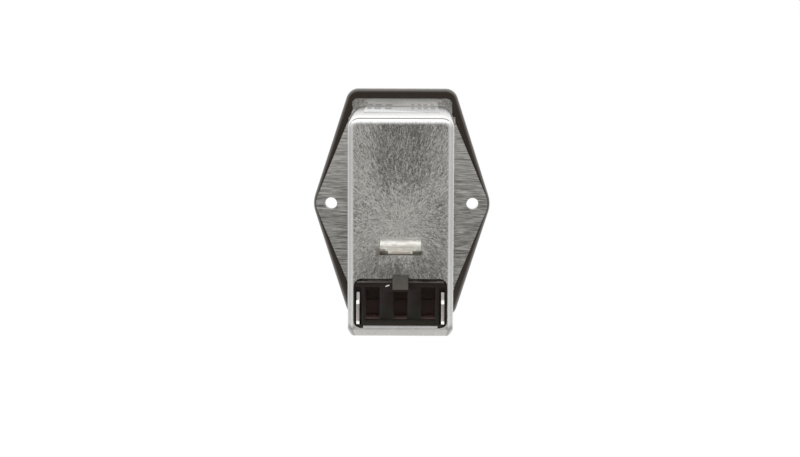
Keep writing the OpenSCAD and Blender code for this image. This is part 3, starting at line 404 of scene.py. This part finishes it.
def stamped(name, dark, light, roughness, tarnish=None, tarnish_share=0.0, along=(0.5, 0.5, 6.0)):
    """A stamped and plated metal strip, with drawing lines and patches of tarnish."""
    f = Finish(name)
    mm, x, y, z = f.place()
    lines = f.noise(f.stretch(x, y, z, *along), 1.0, 3, 0.6)
    patch = f.noise(mm, 0.45, 3, 0.55, 0.4)
    base = f.mix((lines - 0.5) * 1.3 + (patch - 0.5) * 0.6 + 0.55, dark, light)
    if tarnish is not None:
        base = f.mix(patch.rise(0.5, 0.68) * tarnish_share, base, tarnish)
    return f.shade(
        Base_Color=base, Metallic=1.0, Roughness=roughness + patch * 0.1, Normal=f.bump(lines, 0.008, 0.6)
    )


def blade_tin():
    """The output blades: tinned brass, bright on the coined edges and dull pink on the sheared ends."""
    f = Finish("blade_tin")
    x, y, z = f.place()[1:]
    lines = f.noise(f.stretch(x, y, z, 0.5, 0.5, 6.0), 1.0, 3, 0.6)
    base = f.mix((lines - 0.5) * 1.4 + 0.6, (0.80, 0.78, 0.75), (0.98, 0.97, 0.95))
    sheared = y.rise(46.8, 46.95) * z.band(-25.9, -21.4, 0.25)
    base = f.mix(sheared, base, f.mix(lines, (0.52, 0.48, 0.45), (0.66, 0.62, 0.59)))
    tinned = z.rise(-20.6, -20.2) * y.rise(44.5, 44.3)
    return f.shade(
        Base_Color=base, Metallic=1 - tinned * 0.85, Roughness=0.22 + sheared * 0.2 + tinned * 0.2,
        Normal=f.bump(lines, 0.008, 0.6),
    )


def earth_tin():
    """The earth tab: hot-tinned brass, whitish on top, with painted shade and brown residue below, and a
    painted glint at its dimple.
    """
    f = Finish("earth_tin")
    mm, x, y, z = f.place()
    patch = f.noise(mm, 0.5, 3, 0.6, 0.5)
    wisp = f.noise(f.stretch(x, y, z, 0.7, 0.35, 1.4), 1.0, 3, 0.65, 0.8)
    base = f.mix((wisp - 0.5) * 1.6 + 0.8, (0.66, 0.63, 0.54), (1.0, 0.99, 0.95))
    yellow = y.rise(47.5, 50.5) * patch.rise(0.35, 0.6)
    base = f.mix(yellow * 0.45, base, (0.66, 0.64, 0.46))
    # Painted shade with brown flux residue: darker brown low down near the slot, most on the +X side
    shade_and_residue_below = z.rise(-6.9, -7.3) * y.rise(47.2, 46.7)
    base = f.mix(shade_and_residue_below * (0.3 + x.rise(2.9, 3.6) * 0.6), base, (0.17, 0.11, 0.07))
    dimple_y = node_box("earth_tab")[1].y - DIMPLE_FROM_TIP
    # Painted highlight: a white spot over the dimple, inside a painted darker ring
    spot = (x * x + (y - dimple_y) * (y - dimple_y)) ** 0.5
    dimple_ring_shade = f.mix(spot.band(0.8, 1.5, 0.3) * 0.35, base, (0.45, 0.43, 0.36))
    base = f.mix(spot.band(0.0, 0.75, 0.15), dimple_ring_shade, (1.0, 1.0, 0.98))
    tip = y.rise(53.0, 53.25)
    base = f.mix(tip * 0.6, base, (0.62, 0.47, 0.42))
    uneven = f.bump(wisp * 0.3 + patch, 0.3, 1.0)
    return f.shade(Base_Color=base, Metallic=0.75, Roughness=0.24 + patch * 0.2, Normal=uneven)


def enamelled_copper():
    """Winding wire: copper under a clear amber enamel."""
    f = Finish("enamelled_copper")
    mm = f.place()[0]
    drift = f.noise(mm, 0.6, 3, 0.6)
    base = f.mix(drift, (0.38, 0.11, 0.035), (0.66, 0.25, 0.09))
    return f.shade(
        Base_Color=base, Metallic=0.85, Roughness=0.24 + drift * 0.12, Coat_Weight=0.7, Coat_Roughness=0.1,
        Normal=f.bump(drift, 0.01, 0.4),
    )


def ferrite():
    """The choke's core: grey sintered ferrite, a little gritty."""
    f = Finish("ferrite")
    mm = f.place()[0]
    grit = f.noise(mm, 6.0, 4, 0.7)
    base = f.mix(grit, (0.030, 0.032, 0.036), (0.085, 0.088, 0.094))
    return f.shade(Base_Color=base, Roughness=0.55 + grit * 0.2, Normal=f.bump(grit, 0.03, 0.8))


def circuit_laminate():
    """Green solder mask over woven glass, with tinned copper islands round the holes."""
    f = Finish("circuit_laminate")
    mm, x, y, z = f.place()
    thread = {"Vector": mm, "Scale": 3.0, "Distortion": 0.6}
    weave = f.node("ShaderNodeTexWave", None, thread, 1)
    across = f.node("ShaderNodeTexWave", {"bands_direction": "Z"}, thread, 1)
    cloud = f.noise(mm, 0.25, 3, 0.6)
    base = f.mix(weave * 0.5 + across * 0.5, (0.012, 0.085, 0.035), (0.022, 0.14, 0.06))
    track = (abs(x).band(5.2, 8.4, 0.08) + abs(x).band(9.6, 10.6, 0.08)) * z.band(-12.0, 24.0, 0.5)
    base = f.mix(track.least(1.0) * 0.5, base, (0.05, 0.24, 0.10))
    return f.shade(
        Base_Color=base, Roughness=0.3 + cloud * 0.15, Normal=f.bump(weave + across + track * 2, 0.01, 0.5)
    )


def clear_film():
    """Folded polyester film, milky where it is creased."""
    f = Finish("clear_film")
    x, y, z = f.place()[1:]
    crease = f.noise(f.stretch(x, y, z, 0.4, 0.08, 0.4), 1.0, 3, 0.6, 0.8)
    base = f.mix(crease, (0.74, 0.70, 0.56), (0.88, 0.86, 0.78))
    folds = f.bump(crease, 0.06, 0.5)
    return f.shade(Base_Color=base, Roughness=0.25 + crease * 0.2, Alpha=0.72, Normal=folds)


def fuse_glass():
    """Clear drawn glass with faint lines along the tube."""
    f = Finish("fuse_glass")
    x, y, z = f.place()[1:]
    draw = f.noise(f.stretch(x, y, z, 2.5, 0.1, 2.5), 1.0, 2, 0.5)
    base = f.mix(draw, (0.90, 0.95, 0.95), (0.98, 1.0, 1.0))
    return f.shade(
        Base_Color=base, Roughness=0.02 + draw * 0.03, Transmission_Weight=1.0, IOR=1.5,
        Normal=f.bump(draw, 0.01, 0.3),
    )


def dipped(name, dark, light, roughness, coat=0.3):
    """An epoxy or lacquer coat dipped over a small component."""
    f = Finish(name)
    mm = f.place()[0]
    ripple = f.noise(mm, 0.8, 2, 0.5)
    base = f.mix(ripple, dark, light)
    return f.shade(
        Base_Color=base, Roughness=roughness + ripple * 0.1, Coat_Weight=coat, Coat_Roughness=0.15,
        Normal=f.bump(ripple, 0.05, 0.4),
    )


def resistor_lacquer():
    """Buff lacquer with four coloured bands and tinned leads."""
    f = Finish("resistor_lacquer")
    mm, x = f.place()[:2]
    ripple = f.noise(mm, 1.1, 2, 0.5)
    base = f.mix(ripple, (0.55, 0.42, 0.24), (0.68, 0.55, 0.34))
    brown, black = (0.30, 0.13, 0.04), (0.02, 0.02, 0.02)
    yellow, gold = (0.55, 0.38, 0.02), (0.50, 0.36, 0.10)
    for at, ink in ((-2.0, brown), (-0.9, black), (0.2, yellow), (1.9, gold)):
        base = f.mix(x.band(at - 0.25, at + 0.25, 0.04), base, ink)
    lead = abs(x).rise(3.15, 3.25)
    base = f.mix(lead, base, (0.75, 0.75, 0.73))
    uneven = f.bump(ripple, 0.02, 0.4)
    return f.shade(Base_Color=base, Metallic=lead, Roughness=0.32 + ripple * 0.1, Normal=uneven)


FINISHES = {
    "moulding": flange_moulding(),
    "shield": brushed_steel(),
    "can": drawn_steel(),
    "label": label_stock(),
    "film": clear_film(),
    "block": block_moulding(),
    "tinned": blade_tin(),
    "earth_tin": earth_tin(),
    "pins": stamped(
        "nickel_brass", (0.62, 0.58, 0.48), (0.90, 0.87, 0.80), 0.16,
        tarnish=(0.55, 0.45, 0.30), tarnish_share=0.25, along=(6.0, 0.3, 6.0),
    ),
    "contact": stamped(
        "contact_brass", (0.55, 0.38, 0.16), (0.86, 0.66, 0.34), 0.22,
        tarnish=(0.34, 0.20, 0.09), tarnish_share=0.4, along=(6.0, 0.4, 0.6),
    ),
    "glass": fuse_glass(),
    "caps": stamped("fuse_cap_nickel", (0.60, 0.59, 0.56), (0.90, 0.89, 0.86), 0.16, along=(0.4, 5.0, 0.4)),
    "fuse_wire": stamped("fuse_silver", (0.62, 0.60, 0.56), (0.88, 0.86, 0.82), 0.3),
    "rocker": moulded("rocker_gloss_black", (0.008, 0.008, 0.008), (0.014, 0.014, 0.014), 0.2, 0.25, 0.05),
    "mark": moulded("white_inlay", (0.62, 0.62, 0.60), (0.72, 0.72, 0.70), 0.4, 0.4),
    "drawer": moulded("drawer_moulding", (0.024, 0.015, 0.009), (0.034, 0.022, 0.014), 0.38, 0.8, 0.05),
    "plunger": moulded("natural_nylon", (0.58, 0.56, 0.48), (0.70, 0.68, 0.60), 0.42, 0.4),
    "spring": stamped("spring_steel", (0.42, 0.42, 0.42), (0.74, 0.74, 0.73), 0.25),
    "board": circuit_laminate(),
    "ferrite": ferrite(),
    "divider": moulded("divider_board", (0.42, 0.36, 0.22), (0.58, 0.50, 0.34), 0.6, 1.2),
    "copper": enamelled_copper(),
    "x_cap": dipped("boxed_capacitor", (0.50, 0.34, 0.02), (0.66, 0.46, 0.04), 0.34, 0.2),
    "y_cap": dipped("disc_capacitor", (0.012, 0.07, 0.26), (0.02, 0.11, 0.36), 0.26, 0.5),
    "resistor": resistor_lacquer(),
}


# ---------------------------------------------------------------- shaping tools

def new_object(name, mesh):
    """Puts a mesh in the scene as an object of its own."""
    made = bpy.data.objects.new(name, mesh)
    bpy.context.scene.collection.objects.link(made)
    return made


def settle(obj, body, slot, *nodes):
    """Gives a finished piece the material of its slot, hangs it under its body and hides the nodes it stands
    for.
    """
    if not obj.data.materials:
        obj.data.materials.append(FINISHES[slot])
    if nodes:
        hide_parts(*nodes)
    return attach(obj, body)


MERGE_REACH = 2e-6  # metres between corners that are one corner
FLAT_ANGLE = math.radians(0.6)  # faces that meet within this angle are one face


def merged_copy(node, name, smooth):
    """The node's solid as a clean mesh of its own, its flat faces joined up."""
    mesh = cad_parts[node].data.copy()
    mesh.name = name
    mesh.materials.clear()
    work = bmesh.new()
    work.from_mesh(mesh)
    bmesh.ops.remove_doubles(work, verts=work.verts, dist=MERGE_REACH)
    bmesh.ops.dissolve_limit(
        work, angle_limit=FLAT_ANGLE, verts=work.verts, edges=work.edges, use_dissolve_boundaries=False
    )
    for face in work.faces:
        face.smooth = smooth
    work.to_mesh(mesh)
    work.free()
    for layer in list(mesh.uv_layers):
        mesh.uv_layers.remove(layer)
    return new_object(name, mesh)


def soften(obj, width, segments, angle, harden=True):
    """Rounds the edges that turn by more than angle degrees."""
    bevel = obj.modifiers.new("edges", "BEVEL")
    bevel.width = width * MM
    bevel.segments = segments
    bevel.limit_method = "ANGLE"
    bevel.angle_limit = math.radians(angle)
    bevel.harden_normals = harden
    return bevel


def dress(node, body, slot, width, segments, angle, flat=False):
    """Stands a copy of the node with softened edges in its place; flat keeps a mirror's faces true."""
    obj = merged_copy(node, node + "_dressed", smooth=not flat)
    soften(obj, width, segments, angle, harden=not flat).miter_outer = "MITER_ARC"
    return settle(obj, body, slot, node)


def ring_mesh(name, rings, caps=(True, True)):
    """Joins rings of points, each with the same count, into a closed skin."""
    mesh = bpy.data.meshes.new(name)
    count = len(rings[0])
    points = [p for ring in rings for p in ring]
    faces = [
        (i * count + j, i * count + (j + 1) % count, (i + 1) * count + (j + 1) % count, (i + 1) * count + j)
        for i in range(len(rings) - 1) for j in range(count)
    ]
    if caps[0]:
        faces.append(tuple(range(count))[::-1])
    if caps[1]:
        faces.append(tuple((len(rings) - 1) * count + j for j in range(count)))
    mesh.from_pydata([tuple(c * MM for c in p) for p in points], [], faces)
    work = bmesh.new()
    work.from_mesh(mesh)
    bmesh.ops.recalc_face_normals(work, faces=work.faces)
    work.to_mesh(mesh)
    work.free()
    return mesh


def outline(corners, inset, steps):
    """Points of a convex outline whose corners (x, z, radius) are rounded, drawn in by inset."""
    points = []
    count = len(corners)
    for i, (x, z, r) in enumerate(corners):
        r = max(r, inset + 0.1)
        here = Vector((x, z))
        before = here - Vector(corners[i - 1][:2])
        after = Vector(corners[(i + 1) % count][:2]) - here
        n0 = Vector((before.y, -before.x)).normalized()
        n1 = Vector((after.y, -after.x)).normalized()
        centre = here - r * (n0 + n1) / (1 + n0.dot(n1))
        turn = math.acos(min(1.0, n0.dot(n1)))
        start = math.atan2(n0.y, n0.x)
        for s in range(steps + 1):
            a = start + turn * s / steps
            points.append(centre + (r - inset) * Vector((math.cos(a), math.sin(a))))
    return points


def oblong(half_w, low, high, r):
    """The corners of an upright oblong about X = 0, for outline."""
    return [(half_w, low, r), (half_w, high, r), (-half_w, high, r), (-half_w, low, r)]


def cut(obj, cutter):
    """Takes the cutter's shape out of the object and removes the cutter."""
    modifier = obj.modifiers.new("cut", "BOOLEAN")
    modifier.operation = "DIFFERENCE"
    modifier.solver = "EXACT"
    modifier.object = cutter
    bake(obj)
    bpy.data.objects.remove(cutter)
    return obj


def bake(obj):
    """Turns an object's modifiers into its plain mesh."""
    graph = bpy.context.evaluated_depsgraph_get()
    graph.update()
    mesh = bpy.data.meshes.new_from_object(obj.evaluated_get(graph))
    mesh.name = obj.name
    obj.modifiers.clear()
    obj.data = mesh
    return obj


def prism(name, points, y0, y1):
    """A straight prism along Y."""
    return new_object(name, ring_mesh(name, [[(p[0], y, p[1]) for p in points] for y in (y0, y1)]))


# ---------------------------------------------------------------- can

def share(value):
    """The value held between 0 and 1."""
    return max(0.0, min(1.0, value))


def smooth_faces(obj):
    """Shades every face smoothly."""
    for polygon in obj.data.polygons:
        polygon.use_smooth = True


def make_can():
    """The drawn can: a rounded shell, its opening, slot and notch, and its worked corners."""
    low, high = node_box("filter_can")
    block_low, block_high = node_box("terminal_block")
    tab_low, tab_high = node_box("earth_tab")
    half_w, bottom, top = high.x, low.z, high.z
    front, back = low.y, high.y
    corner, edge, wall, steps = 3.0, 2.0, 0.6, 18
    # The two lower corners grow tighter over a stretch before the rear
    tighter, tight_from, tight_over = 1.5, 36.0, 6.0
    crease_depth, crease_from, crease_to = 0.06, 1.1, 1.34  # behind the start of the rear edge

    def shell(inset, front_y, back_y, edge_r, crease):
        def corners(y):
            tight = corner - inset - tighter * share((y - tight_from) / tight_over)
            (a, b, c, d) = oblong(half_w - inset, bottom + inset, top - inset, corner - inset)
            return [a[:2] + (tight,), b, c, d[:2] + (tight,)]

        straight = back_y - edge_r - front_y
        bays = 8
        levels = [(front_y + straight * k / bays, 0.0) for k in range(bays)]
        for s in range(steps + 1):
            a = math.pi / 2 * s / steps
            levels.append((back_y - edge_r * (1 - math.sin(a)), edge_r * (1 - math.cos(a))))
        if crease:
            start = back_y - edge_r
            levels = [
                (y, d + (crease_depth if start + crease_from < y < start + crease_to else 0.0))
                for y, d in levels
            ]
        return [[(p.x, y, p.y) for p in outline(corners(y), drawn_in, 10)] for y, drawn_in in levels]

    can = new_object("drawn_can", ring_mesh("drawn_can", shell(0, front, back, edge, True)))
    inner = shell(wall, front - 1, back - wall, edge - wall, False)
    cut(can, new_object("inside", ring_mesh("inside", inner)))
    cut_from, cut_to = back - 3, back + 1
    block_top = block_low.z + 12.65  # without the hook
    mouth_side, mouth_under, mouth_over, mouth_r = 0.1, 0.1, 0.35, 2.2
    opening = oblong(block_high.x + mouth_side, block_low.z - mouth_under, block_top + mouth_over, mouth_r)
    mouth = prism("mouth", outline(opening, 0, 8), cut_from, cut_to)
    foot_w, sill_rise = 2.4, 0.55  # the block's feet reach down past the sill between them
    sill = oblong(block_high.x - foot_w, block_low.z - 2, block_low.z + sill_rise, 0.15)
    cut(mouth, prism("sill", outline(sill, 0, 2), cut_from - 1, cut_to + 1))
    cut(can, mouth)
    notch_half, notch_rise = 2.35, 0.7  # round the block's hook
    notch = oblong(notch_half, block_top - 1, block_top + notch_rise, 0.25)
    cut(can, prism("notch", outline(notch, 0, 3), cut_from, cut_to))
    slot_side, slot_down, slot_up = 0.1, 1.35, 3.3  # round the earth tab's underside
    slot = oblong(tab_high.x + slot_side, tab_low.z - slot_down, tab_low.z + slot_up, 0.35)
    cut(can, prism("slot", outline(slot, 0, 4), cut_from, cut_to))
    # The draw pinches the metal at the two lower corners, which hang a little below the edge
    ear_x, ear_half, ear_h, ear_drop, ear_from, ear_over = 12.3, 0.85, 2.2, 0.75, 38.0, 4.5
    # The top's rear rounding droops a little
    droop, droop_from, droop_full = 0.55, 21.0, 24.0
    for v in can.data.vertices:
        x, y, z = v.co / MM
        near = math.exp(-((abs(x) - ear_x) / ear_half) ** 2) * math.exp(-((z - bottom) / ear_h) ** 2)
        v.co.z -= ear_drop * MM * near * share((y - ear_from) / ear_over)
        over = share((y - back + edge) / edge) * share((z - droop_from) / (droop_full - droop_from))
        v.co.z -= droop * MM * over * over * (1.0 if z > droop_full else 0.5)
    soften(can, 0.1, 2, 60)
    smooth_faces(can)
    return settle(can, "housing", "can", "filter_can")


make_can()


# ---------------------------------------------------------------- earth tab

def make_earth_tab():
    """The earth tab: a strip that comes up behind the slot, turns out and narrows to its blade."""
    low, high = node_box("earth_tab")
    thick, bend_r, blade_half = 0.8, 2.3, 3.15
    fillet_r, fillet_over = 1.1, 1.2  # where the shoulders run into the blade
    coin_len, coin_depth, coin_slope = 0.9, 0.22, 0.55  # of the pointed and flattened tip
    dimple_r, dimple_lift = 1.25, 0.92
    root_half, tip, under = high.x, high.y, low.z
    root_y = low.y + thick + bend_r
    bend_z = under + thick + bend_r
    middle_r = bend_r + thick / 2
    stations = [(low.y + thick / 2, high.z - k * (high.z - bend_z) / 4, 0.0, 1.0) for k in range(4)]
    for s in range(11):
        a = math.pi / 2 * s / 10
        up, out = math.sin(a), math.cos(a)
        stations.append((root_y - middle_r * out, bend_z - middle_r * up, up, out))
    shoulder = root_y + 0.15
    blade_from, coin_from = root_y + 1.9, tip - coin_len
    along = [shoulder + d for d in (0.0, 0.04, 0.14, 0.3, 0.52, 0.8, fillet_over)]
    along += [blade_from + k * (coin_from - blade_from) / 5 for k in range(6)]
    along += [tip - d for d in (0.6, 0.3, 0.12, 0.0)]
    stations += [(y, under + thick / 2, 1.0, 0.0) for y in along]

    def half_width(y, z):
        if z > under + thick + 0.2 or y <= shoulder:
            return root_half
        fillet = (shoulder + fillet_over - y) / fillet_over
        if fillet > 0:
            return blade_half + fillet_r * (1 - math.sqrt(max(0.0, 1 - fillet * fillet)))
        return blade_half - max(0.0, y - coin_from) * coin_slope

    columns, rows = 12, []
    for y, z, up, out in stations:
        half = half_width(y, z)
        reach = thick / 2 - coin_depth * max(0.0, y - coin_from) / coin_len
        rows.append([
            (half * (1 - 2 * c / columns), y + side * out * reach, z + side * up * reach)
            for side in (1, -1) for c in (range(columns + 1) if side > 0 else range(columns, -1, -1))
        ])
    tab = new_object("earth_tab_formed", ring_mesh("earth_tab_formed", rows))
    work = bmesh.new()
    bmesh.ops.create_uvsphere(
        work, u_segments=32, v_segments=24, radius=dimple_r * MM,
        matrix=Matrix.Translation((0, (tip - DIMPLE_FROM_TIP) * MM, (under + thick + dimple_lift) * MM)),
    )
    hole = bpy.data.meshes.new("detent")
    work.to_mesh(hole)
    work.free()
    cut(tab, new_object("detent", hole))
    soften(tab, 0.14, 3, 40)
    smooth_faces(tab)
    return settle(tab, "housing", "earth_tin", "earth_tab")


make_earth_tab()


# ---------------------------------------------------------------- pieces that keep their solids' form

# Node, body, slot, then the edges' radius in millimetres, its steps and the least angle it rounds
DRESSED = (
    ("bezel_housing", "housing", "moulding", 0.22, 3, 40),
    ("shield_plate", "housing", "shield", 0.1, 2, 50, True),
    ("terminal_block", "housing", "block", 0.14, 2, 40),
    ("line_blade", "housing", "tinned", 0.16, 2, 30),
    ("neutral_blade", "housing", "tinned", 0.16, 2, 30),
    ("line_pin", "housing", "pins", 0.3, 3, 20),
    ("neutral_pin", "housing", "pins", 0.3, 3, 20),
    ("earth_pin", "housing", "pins", 0.3, 3, 20),
    ("earth_strap", "housing", "pins", 0.1, 2, 40),
    ("label", "housing", "label", 0.03, 1, 40),
    ("insulation_liner", "housing", "film", 0.04, 1, 40),
    ("line_front_clip", "housing", "contact", 0.06, 2, 25),
    ("line_rear_clip", "housing", "contact", 0.06, 2, 25),
    ("neutral_front_clip", "housing", "contact", 0.06, 2, 25),
    ("neutral_rear_clip", "housing", "contact", 0.06, 2, 25),
    ("line_pole_contact", "housing", "contact", 0.08, 2, 40),
    ("neutral_pole_contact", "housing", "contact", 0.08, 2, 40),
    ("line_lever", "line_contact_arm", "contact", 0.06, 2, 30),
    ("neutral_lever", "neutral_contact_arm", "contact", 0.06, 2, 30),
    ("circuit_board", "housing", "board", 0.05, 1, 50),
    ("choke_core", "housing", "ferrite", 0.6, 4, 50),
    ("choke_divider", "housing", "divider", 0.08, 1, 40),
    ("x_capacitor", "housing", "x_cap", 0.35, 3, 50),
    ("line_y_capacitor", "housing", "y_cap", 0.7, 4, 50),
    ("neutral_y_capacitor", "housing", "y_cap", 0.7, 4, 50),
    ("discharge_resistor", "housing", "resistor", 0.3, 3, 50),
    ("fuse_drawer", "fuse_tray", "drawer", 0.2, 3, 40),
    ("line_fuse_caps", "fuse_tray", "caps", 0.12, 2, 50),
    ("neutral_fuse_caps", "fuse_tray", "caps", 0.12, 2, 50),
    ("rocker", "rocker_switch", "rocker", 0.25, 3, 40),
    ("line_plunger", "rocker_switch", "plunger", 0.12, 2, 50),
    ("neutral_plunger", "rocker_switch", "plunger", 0.12, 2, 50),
)
for row in DRESSED:
    dress(*row)

# Pieces that the solids already show in full
KEPT = {
    "line_fuse_glass": "glass", "neutral_fuse_glass": "glass",
    "line_fuse_wire": "fuse_wire", "neutral_fuse_wire": "fuse_wire",
    "line_spring": "spring", "neutral_spring": "spring",
    "line_winding": "copper", "neutral_winding": "copper",
}
for node, slot in KEPT.items():
    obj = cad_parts[node]
    obj.data.materials.clear()
    obj.data.materials.append(FINISHES[slot])


# ---------------------------------------------------------------- ribs and inlays of the front

def row_tree():
    """A node tree that sets copies of the piece in a straight row, centred on where it stands."""
    tree = bpy.data.node_groups.new("row", "GeometryNodeTree")
    for name, kind in (("Piece", "Geometry"), ("Count", "Int"), ("Pitch", "Float"), ("Finish", "Material")):
        tree.interface.new_socket(name, in_out="INPUT", socket_type="NodeSocket" + kind)
    tree.interface.new_socket("Row", in_out="OUTPUT", socket_type="NodeSocketGeometry")
    nodes, link = tree.nodes, tree.links.new
    given, result = nodes.new("NodeGroupInput"), nodes.new("NodeGroupOutput")
    line = nodes.new("GeometryNodeMeshLine")
    spread, centre = nodes.new("ShaderNodeCombineXYZ"), nodes.new("ShaderNodeCombineXYZ")
    gaps, half = nodes.new("ShaderNodeMath"), nodes.new("ShaderNodeMath")
    gaps.operation, half.operation = "SUBTRACT", "MULTIPLY"
    gaps.inputs[1].default_value = 1.0
    reach = nodes.new("ShaderNodeMath")
    reach.operation = "MULTIPLY"
    reach.inputs[1].default_value = -0.5
    copies, real, paint = (
        nodes.new("GeometryNode" + kind) for kind in ("InstanceOnPoints", "RealizeInstances", "SetMaterial")
    )
    link(given.outputs["Count"], line.inputs["Count"])
    link(given.outputs["Pitch"], spread.inputs["X"])
    link(spread.outputs[0], line.inputs["Offset"])
    link(given.outputs["Count"], gaps.inputs[0])
    link(gaps.outputs[0], half.inputs[0])
    link(given.outputs["Pitch"], half.inputs[1])
    link(half.outputs[0], reach.inputs[0])
    link(reach.outputs[0], centre.inputs["X"])
    link(centre.outputs[0], line.inputs["Start Location"])
    link(line.outputs["Mesh"], copies.inputs["Points"])
    link(given.outputs["Piece"], copies.inputs["Instance"])
    link(copies.outputs[0], real.inputs[0])
    link(real.outputs[0], paint.inputs["Geometry"])
    link(given.outputs["Finish"], paint.inputs["Material"])
    link(paint.outputs[0], result.inputs[0])
    return tree


ROW = row_tree()


def row_of(piece, count, pitch, slot):
    """Repeats a piece count times along X, pitch millimetres apart."""
    modifier = piece.modifiers.new("row", "NODES")
    modifier.node_group = ROW
    named = {item.name: item.identifier for item in ROW.interface.items_tree if item.in_out == "INPUT"}
    modifier[named["Count"]] = count
    modifier[named["Pitch"]] = pitch * MM
    modifier[named["Finish"]] = FINISHES[slot]
    return bake(piece)


def bar_mesh(name, half_w, low, high, back, front, round_r, edge=0.15):
    """A bar standing out towards the front, its face edged by a small radius."""
    rings = []
    for y, inset in ((back, 0.0), (front + edge, 0.0), (front + edge * 0.3, edge * 0.3), (front, edge)):
        points = outline(oblong(half_w, low, high, round_r), inset, 4)
        rings.append([(p.x, y, p.y) for p in points])
    return new_object(name, ring_mesh(name, rings))


def make_drawer_grip():
    """The upright ribs that give a finger hold on the drawer."""
    low, high = node_box("fuse_drawer")
    rib_half, rib_proud, rib_sunk, ribs, pitch = 0.28, 0.24, 0.05, 9, 1.3
    rib_low, rib_high, rib_r = low.z + 2.6, high.z - 1.3, 0.27
    rib = bar_mesh("drawer_grip", rib_half, rib_low, rib_high, low.y + rib_sunk, low.y - rib_proud, rib_r)
    settle(row_of(rib, ribs, pitch, "drawer"), "fuse_tray", "drawer")


def make_rocker_marks():
    """A line and a ring inlaid in the rocker's two faces."""
    low, high = node_box("rocker")
    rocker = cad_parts["rocker"].data
    faces = [tuple(p.vertices) for p in rocker.polygons]
    surface = BVHTree.FromPolygons([v.co for v in rocker.vertices], faces)
    middle = (low.z + high.z) / 2
    line_z, line_half, line_reach = middle + 4.3, 0.4, 1.5
    ring_z, ring_radii, ring_steps = middle - 4.6, (1.95, 1.35), 40
    sunk, proud = 0.2, -0.03
    before = -0.03  # metres, well in front of the rocker
    bar = oblong(line_half, -line_reach, line_reach, 0.3)
    line = [[(p.x, p.y + line_z) for p in outline(bar, inset, 4)] for inset in (0.0, 0.25)]
    turns = [math.tau * k / ring_steps for k in range(ring_steps)]
    ring = [[(r * math.cos(a), r * math.sin(a) + ring_z) for a in turns] for r in ring_radii]
    for name, loops, filled in (("on_mark", line, True), ("off_mark", ring, False)):
        rings = []
        for depth, loop in ((sunk, loops[0]), (proud, loops[0]), (proud, loops[1]), (sunk, loops[1])):
            points = []
            for x, z in loop:
                hit = surface.ray_cast(Vector((x * MM, before, z * MM)), Vector((0, 1, 0)))[0]
                points.append((x, max(hit.y / MM + depth, low.y), z))
            rings.append(points)
        if filled:
            mark = ring_mesh(name, rings[:3])
        else:
            mark = ring_mesh(name, rings + rings[:1], (False, False))
        settle(new_object(name, mark), "rocker_switch", "mark")


def make_fleck():
    """A chip of solder caught on the block beside its hook, longer across than up."""
    steps, bands, rings = 12, 6, []
    middle = Vector((3.35, 44.88, -16.95))
    length, across, depth = Vector((0.62, 0, -0.24)), Vector((0.1, 0, 0.17)), Vector((0, 0.2, 0))
    for k in range(1, bands):
        a = math.pi * k / bands
        centre = middle - length * math.cos(a)
        rings.append([
            centre + (across * math.cos(t) + depth * math.sin(t)) * math.sin(a)
            for t in (math.tau * s / steps for s in range(steps))
        ])
    settle(new_object("solder_chip", ring_mesh("solder_chip", rings)), "housing", "tinned")


make_drawer_grip()
make_rocker_marks()
make_fleck()


# ---------------------------------------------------------------- studio

def make_world():
    """White to the eye; light and reflections see softboxes and a darker room behind the camera."""
    world = bpy.data.worlds.new("studio")
    world.use_nodes = True
    bpy.context.scene.world = world
    f = Finish("studio", world.node_tree)
    direction = f.node("ShaderNodeTexCoord", output="Generated")
    x, y, z = f.split(direction)
    backdrop_level, room_level, side_level, side_edge_level = 1.0, 0.32, 0.7, 0.5
    ceiling_level, ground_level = 1.2, 0.62
    level = backdrop_level - y.rise(0.05, 0.8) * (backdrop_level - room_level)
    side = abs(x).rise(0.5, 0.72)
    level = level + (side_level - abs(x).rise(0.86, 1.0) * (side_level - side_edge_level) - level) * side
    above = z.rise(0.45, 0.66).most((0 - y).rise(0.1, 0.4) * z.rise(0.02, 0.25))
    level = level + (ceiling_level - level) * above
    below = z.rise(-0.12, -0.55)
    level = level + (ground_level - level) * below
    straight = f.node("ShaderNodeLightPath", output="Is Camera Ray").most(
        f.node("ShaderNodeLightPath", output="Is Transmission Ray")
    )
    seen = f.node("ShaderNodeMix", None, {0: straight, 2: level, 3: 1.0})
    light = f.node("ShaderNodeBackground", None, {"Color": (1.0, 1.0, 1.0, 1.0), "Strength": seen})
    f.finish_with(light, "ShaderNodeOutputWorld")


def make_floor():
    """A plain pale floor well below the part, white to the eye and to reflections but for shadows."""
    half, level = 0.45, -0.16  # metres
    mesh = bpy.data.meshes.new("floor")
    corners = [(-half, -half, level), (half, -half, level), (half, half, level), (-half, half, level)]
    mesh.from_pydata(corners, [], [(0, 1, 2, 3)])
    floor = new_object("floor", mesh)
    f = Finish("pale_floor")
    mm = f.place()[0]
    tooth = f.noise(mm, 0.02, 2, 0.5)
    paint = f.mix(tooth, (0.60, 0.60, 0.60), (0.64, 0.64, 0.64))
    diffuse = f.node("ShaderNodeBsdfDiffuse", None, {"Color": paint})
    seen = f.node("ShaderNodeLightPath", output="Is Camera Ray").most(
        f.node("ShaderNodeLightPath", output="Is Transmission Ray")
    )
    seen = seen.most(f.node("ShaderNodeLightPath", output="Is Glossy Ray"))
    glow = f.node("ShaderNodeEmission", None, {"Color": (1.0, 1.0, 1.0, 1.0), "Strength": seen * 0.5})
    f.finish_with(f.node("ShaderNodeAddShader", None, {0: diffuse, 1: glow}))
    mesh.materials.append(f.material)


make_world()
make_floor()
bpy.context.scene.view_settings.view_transform = "Standard"
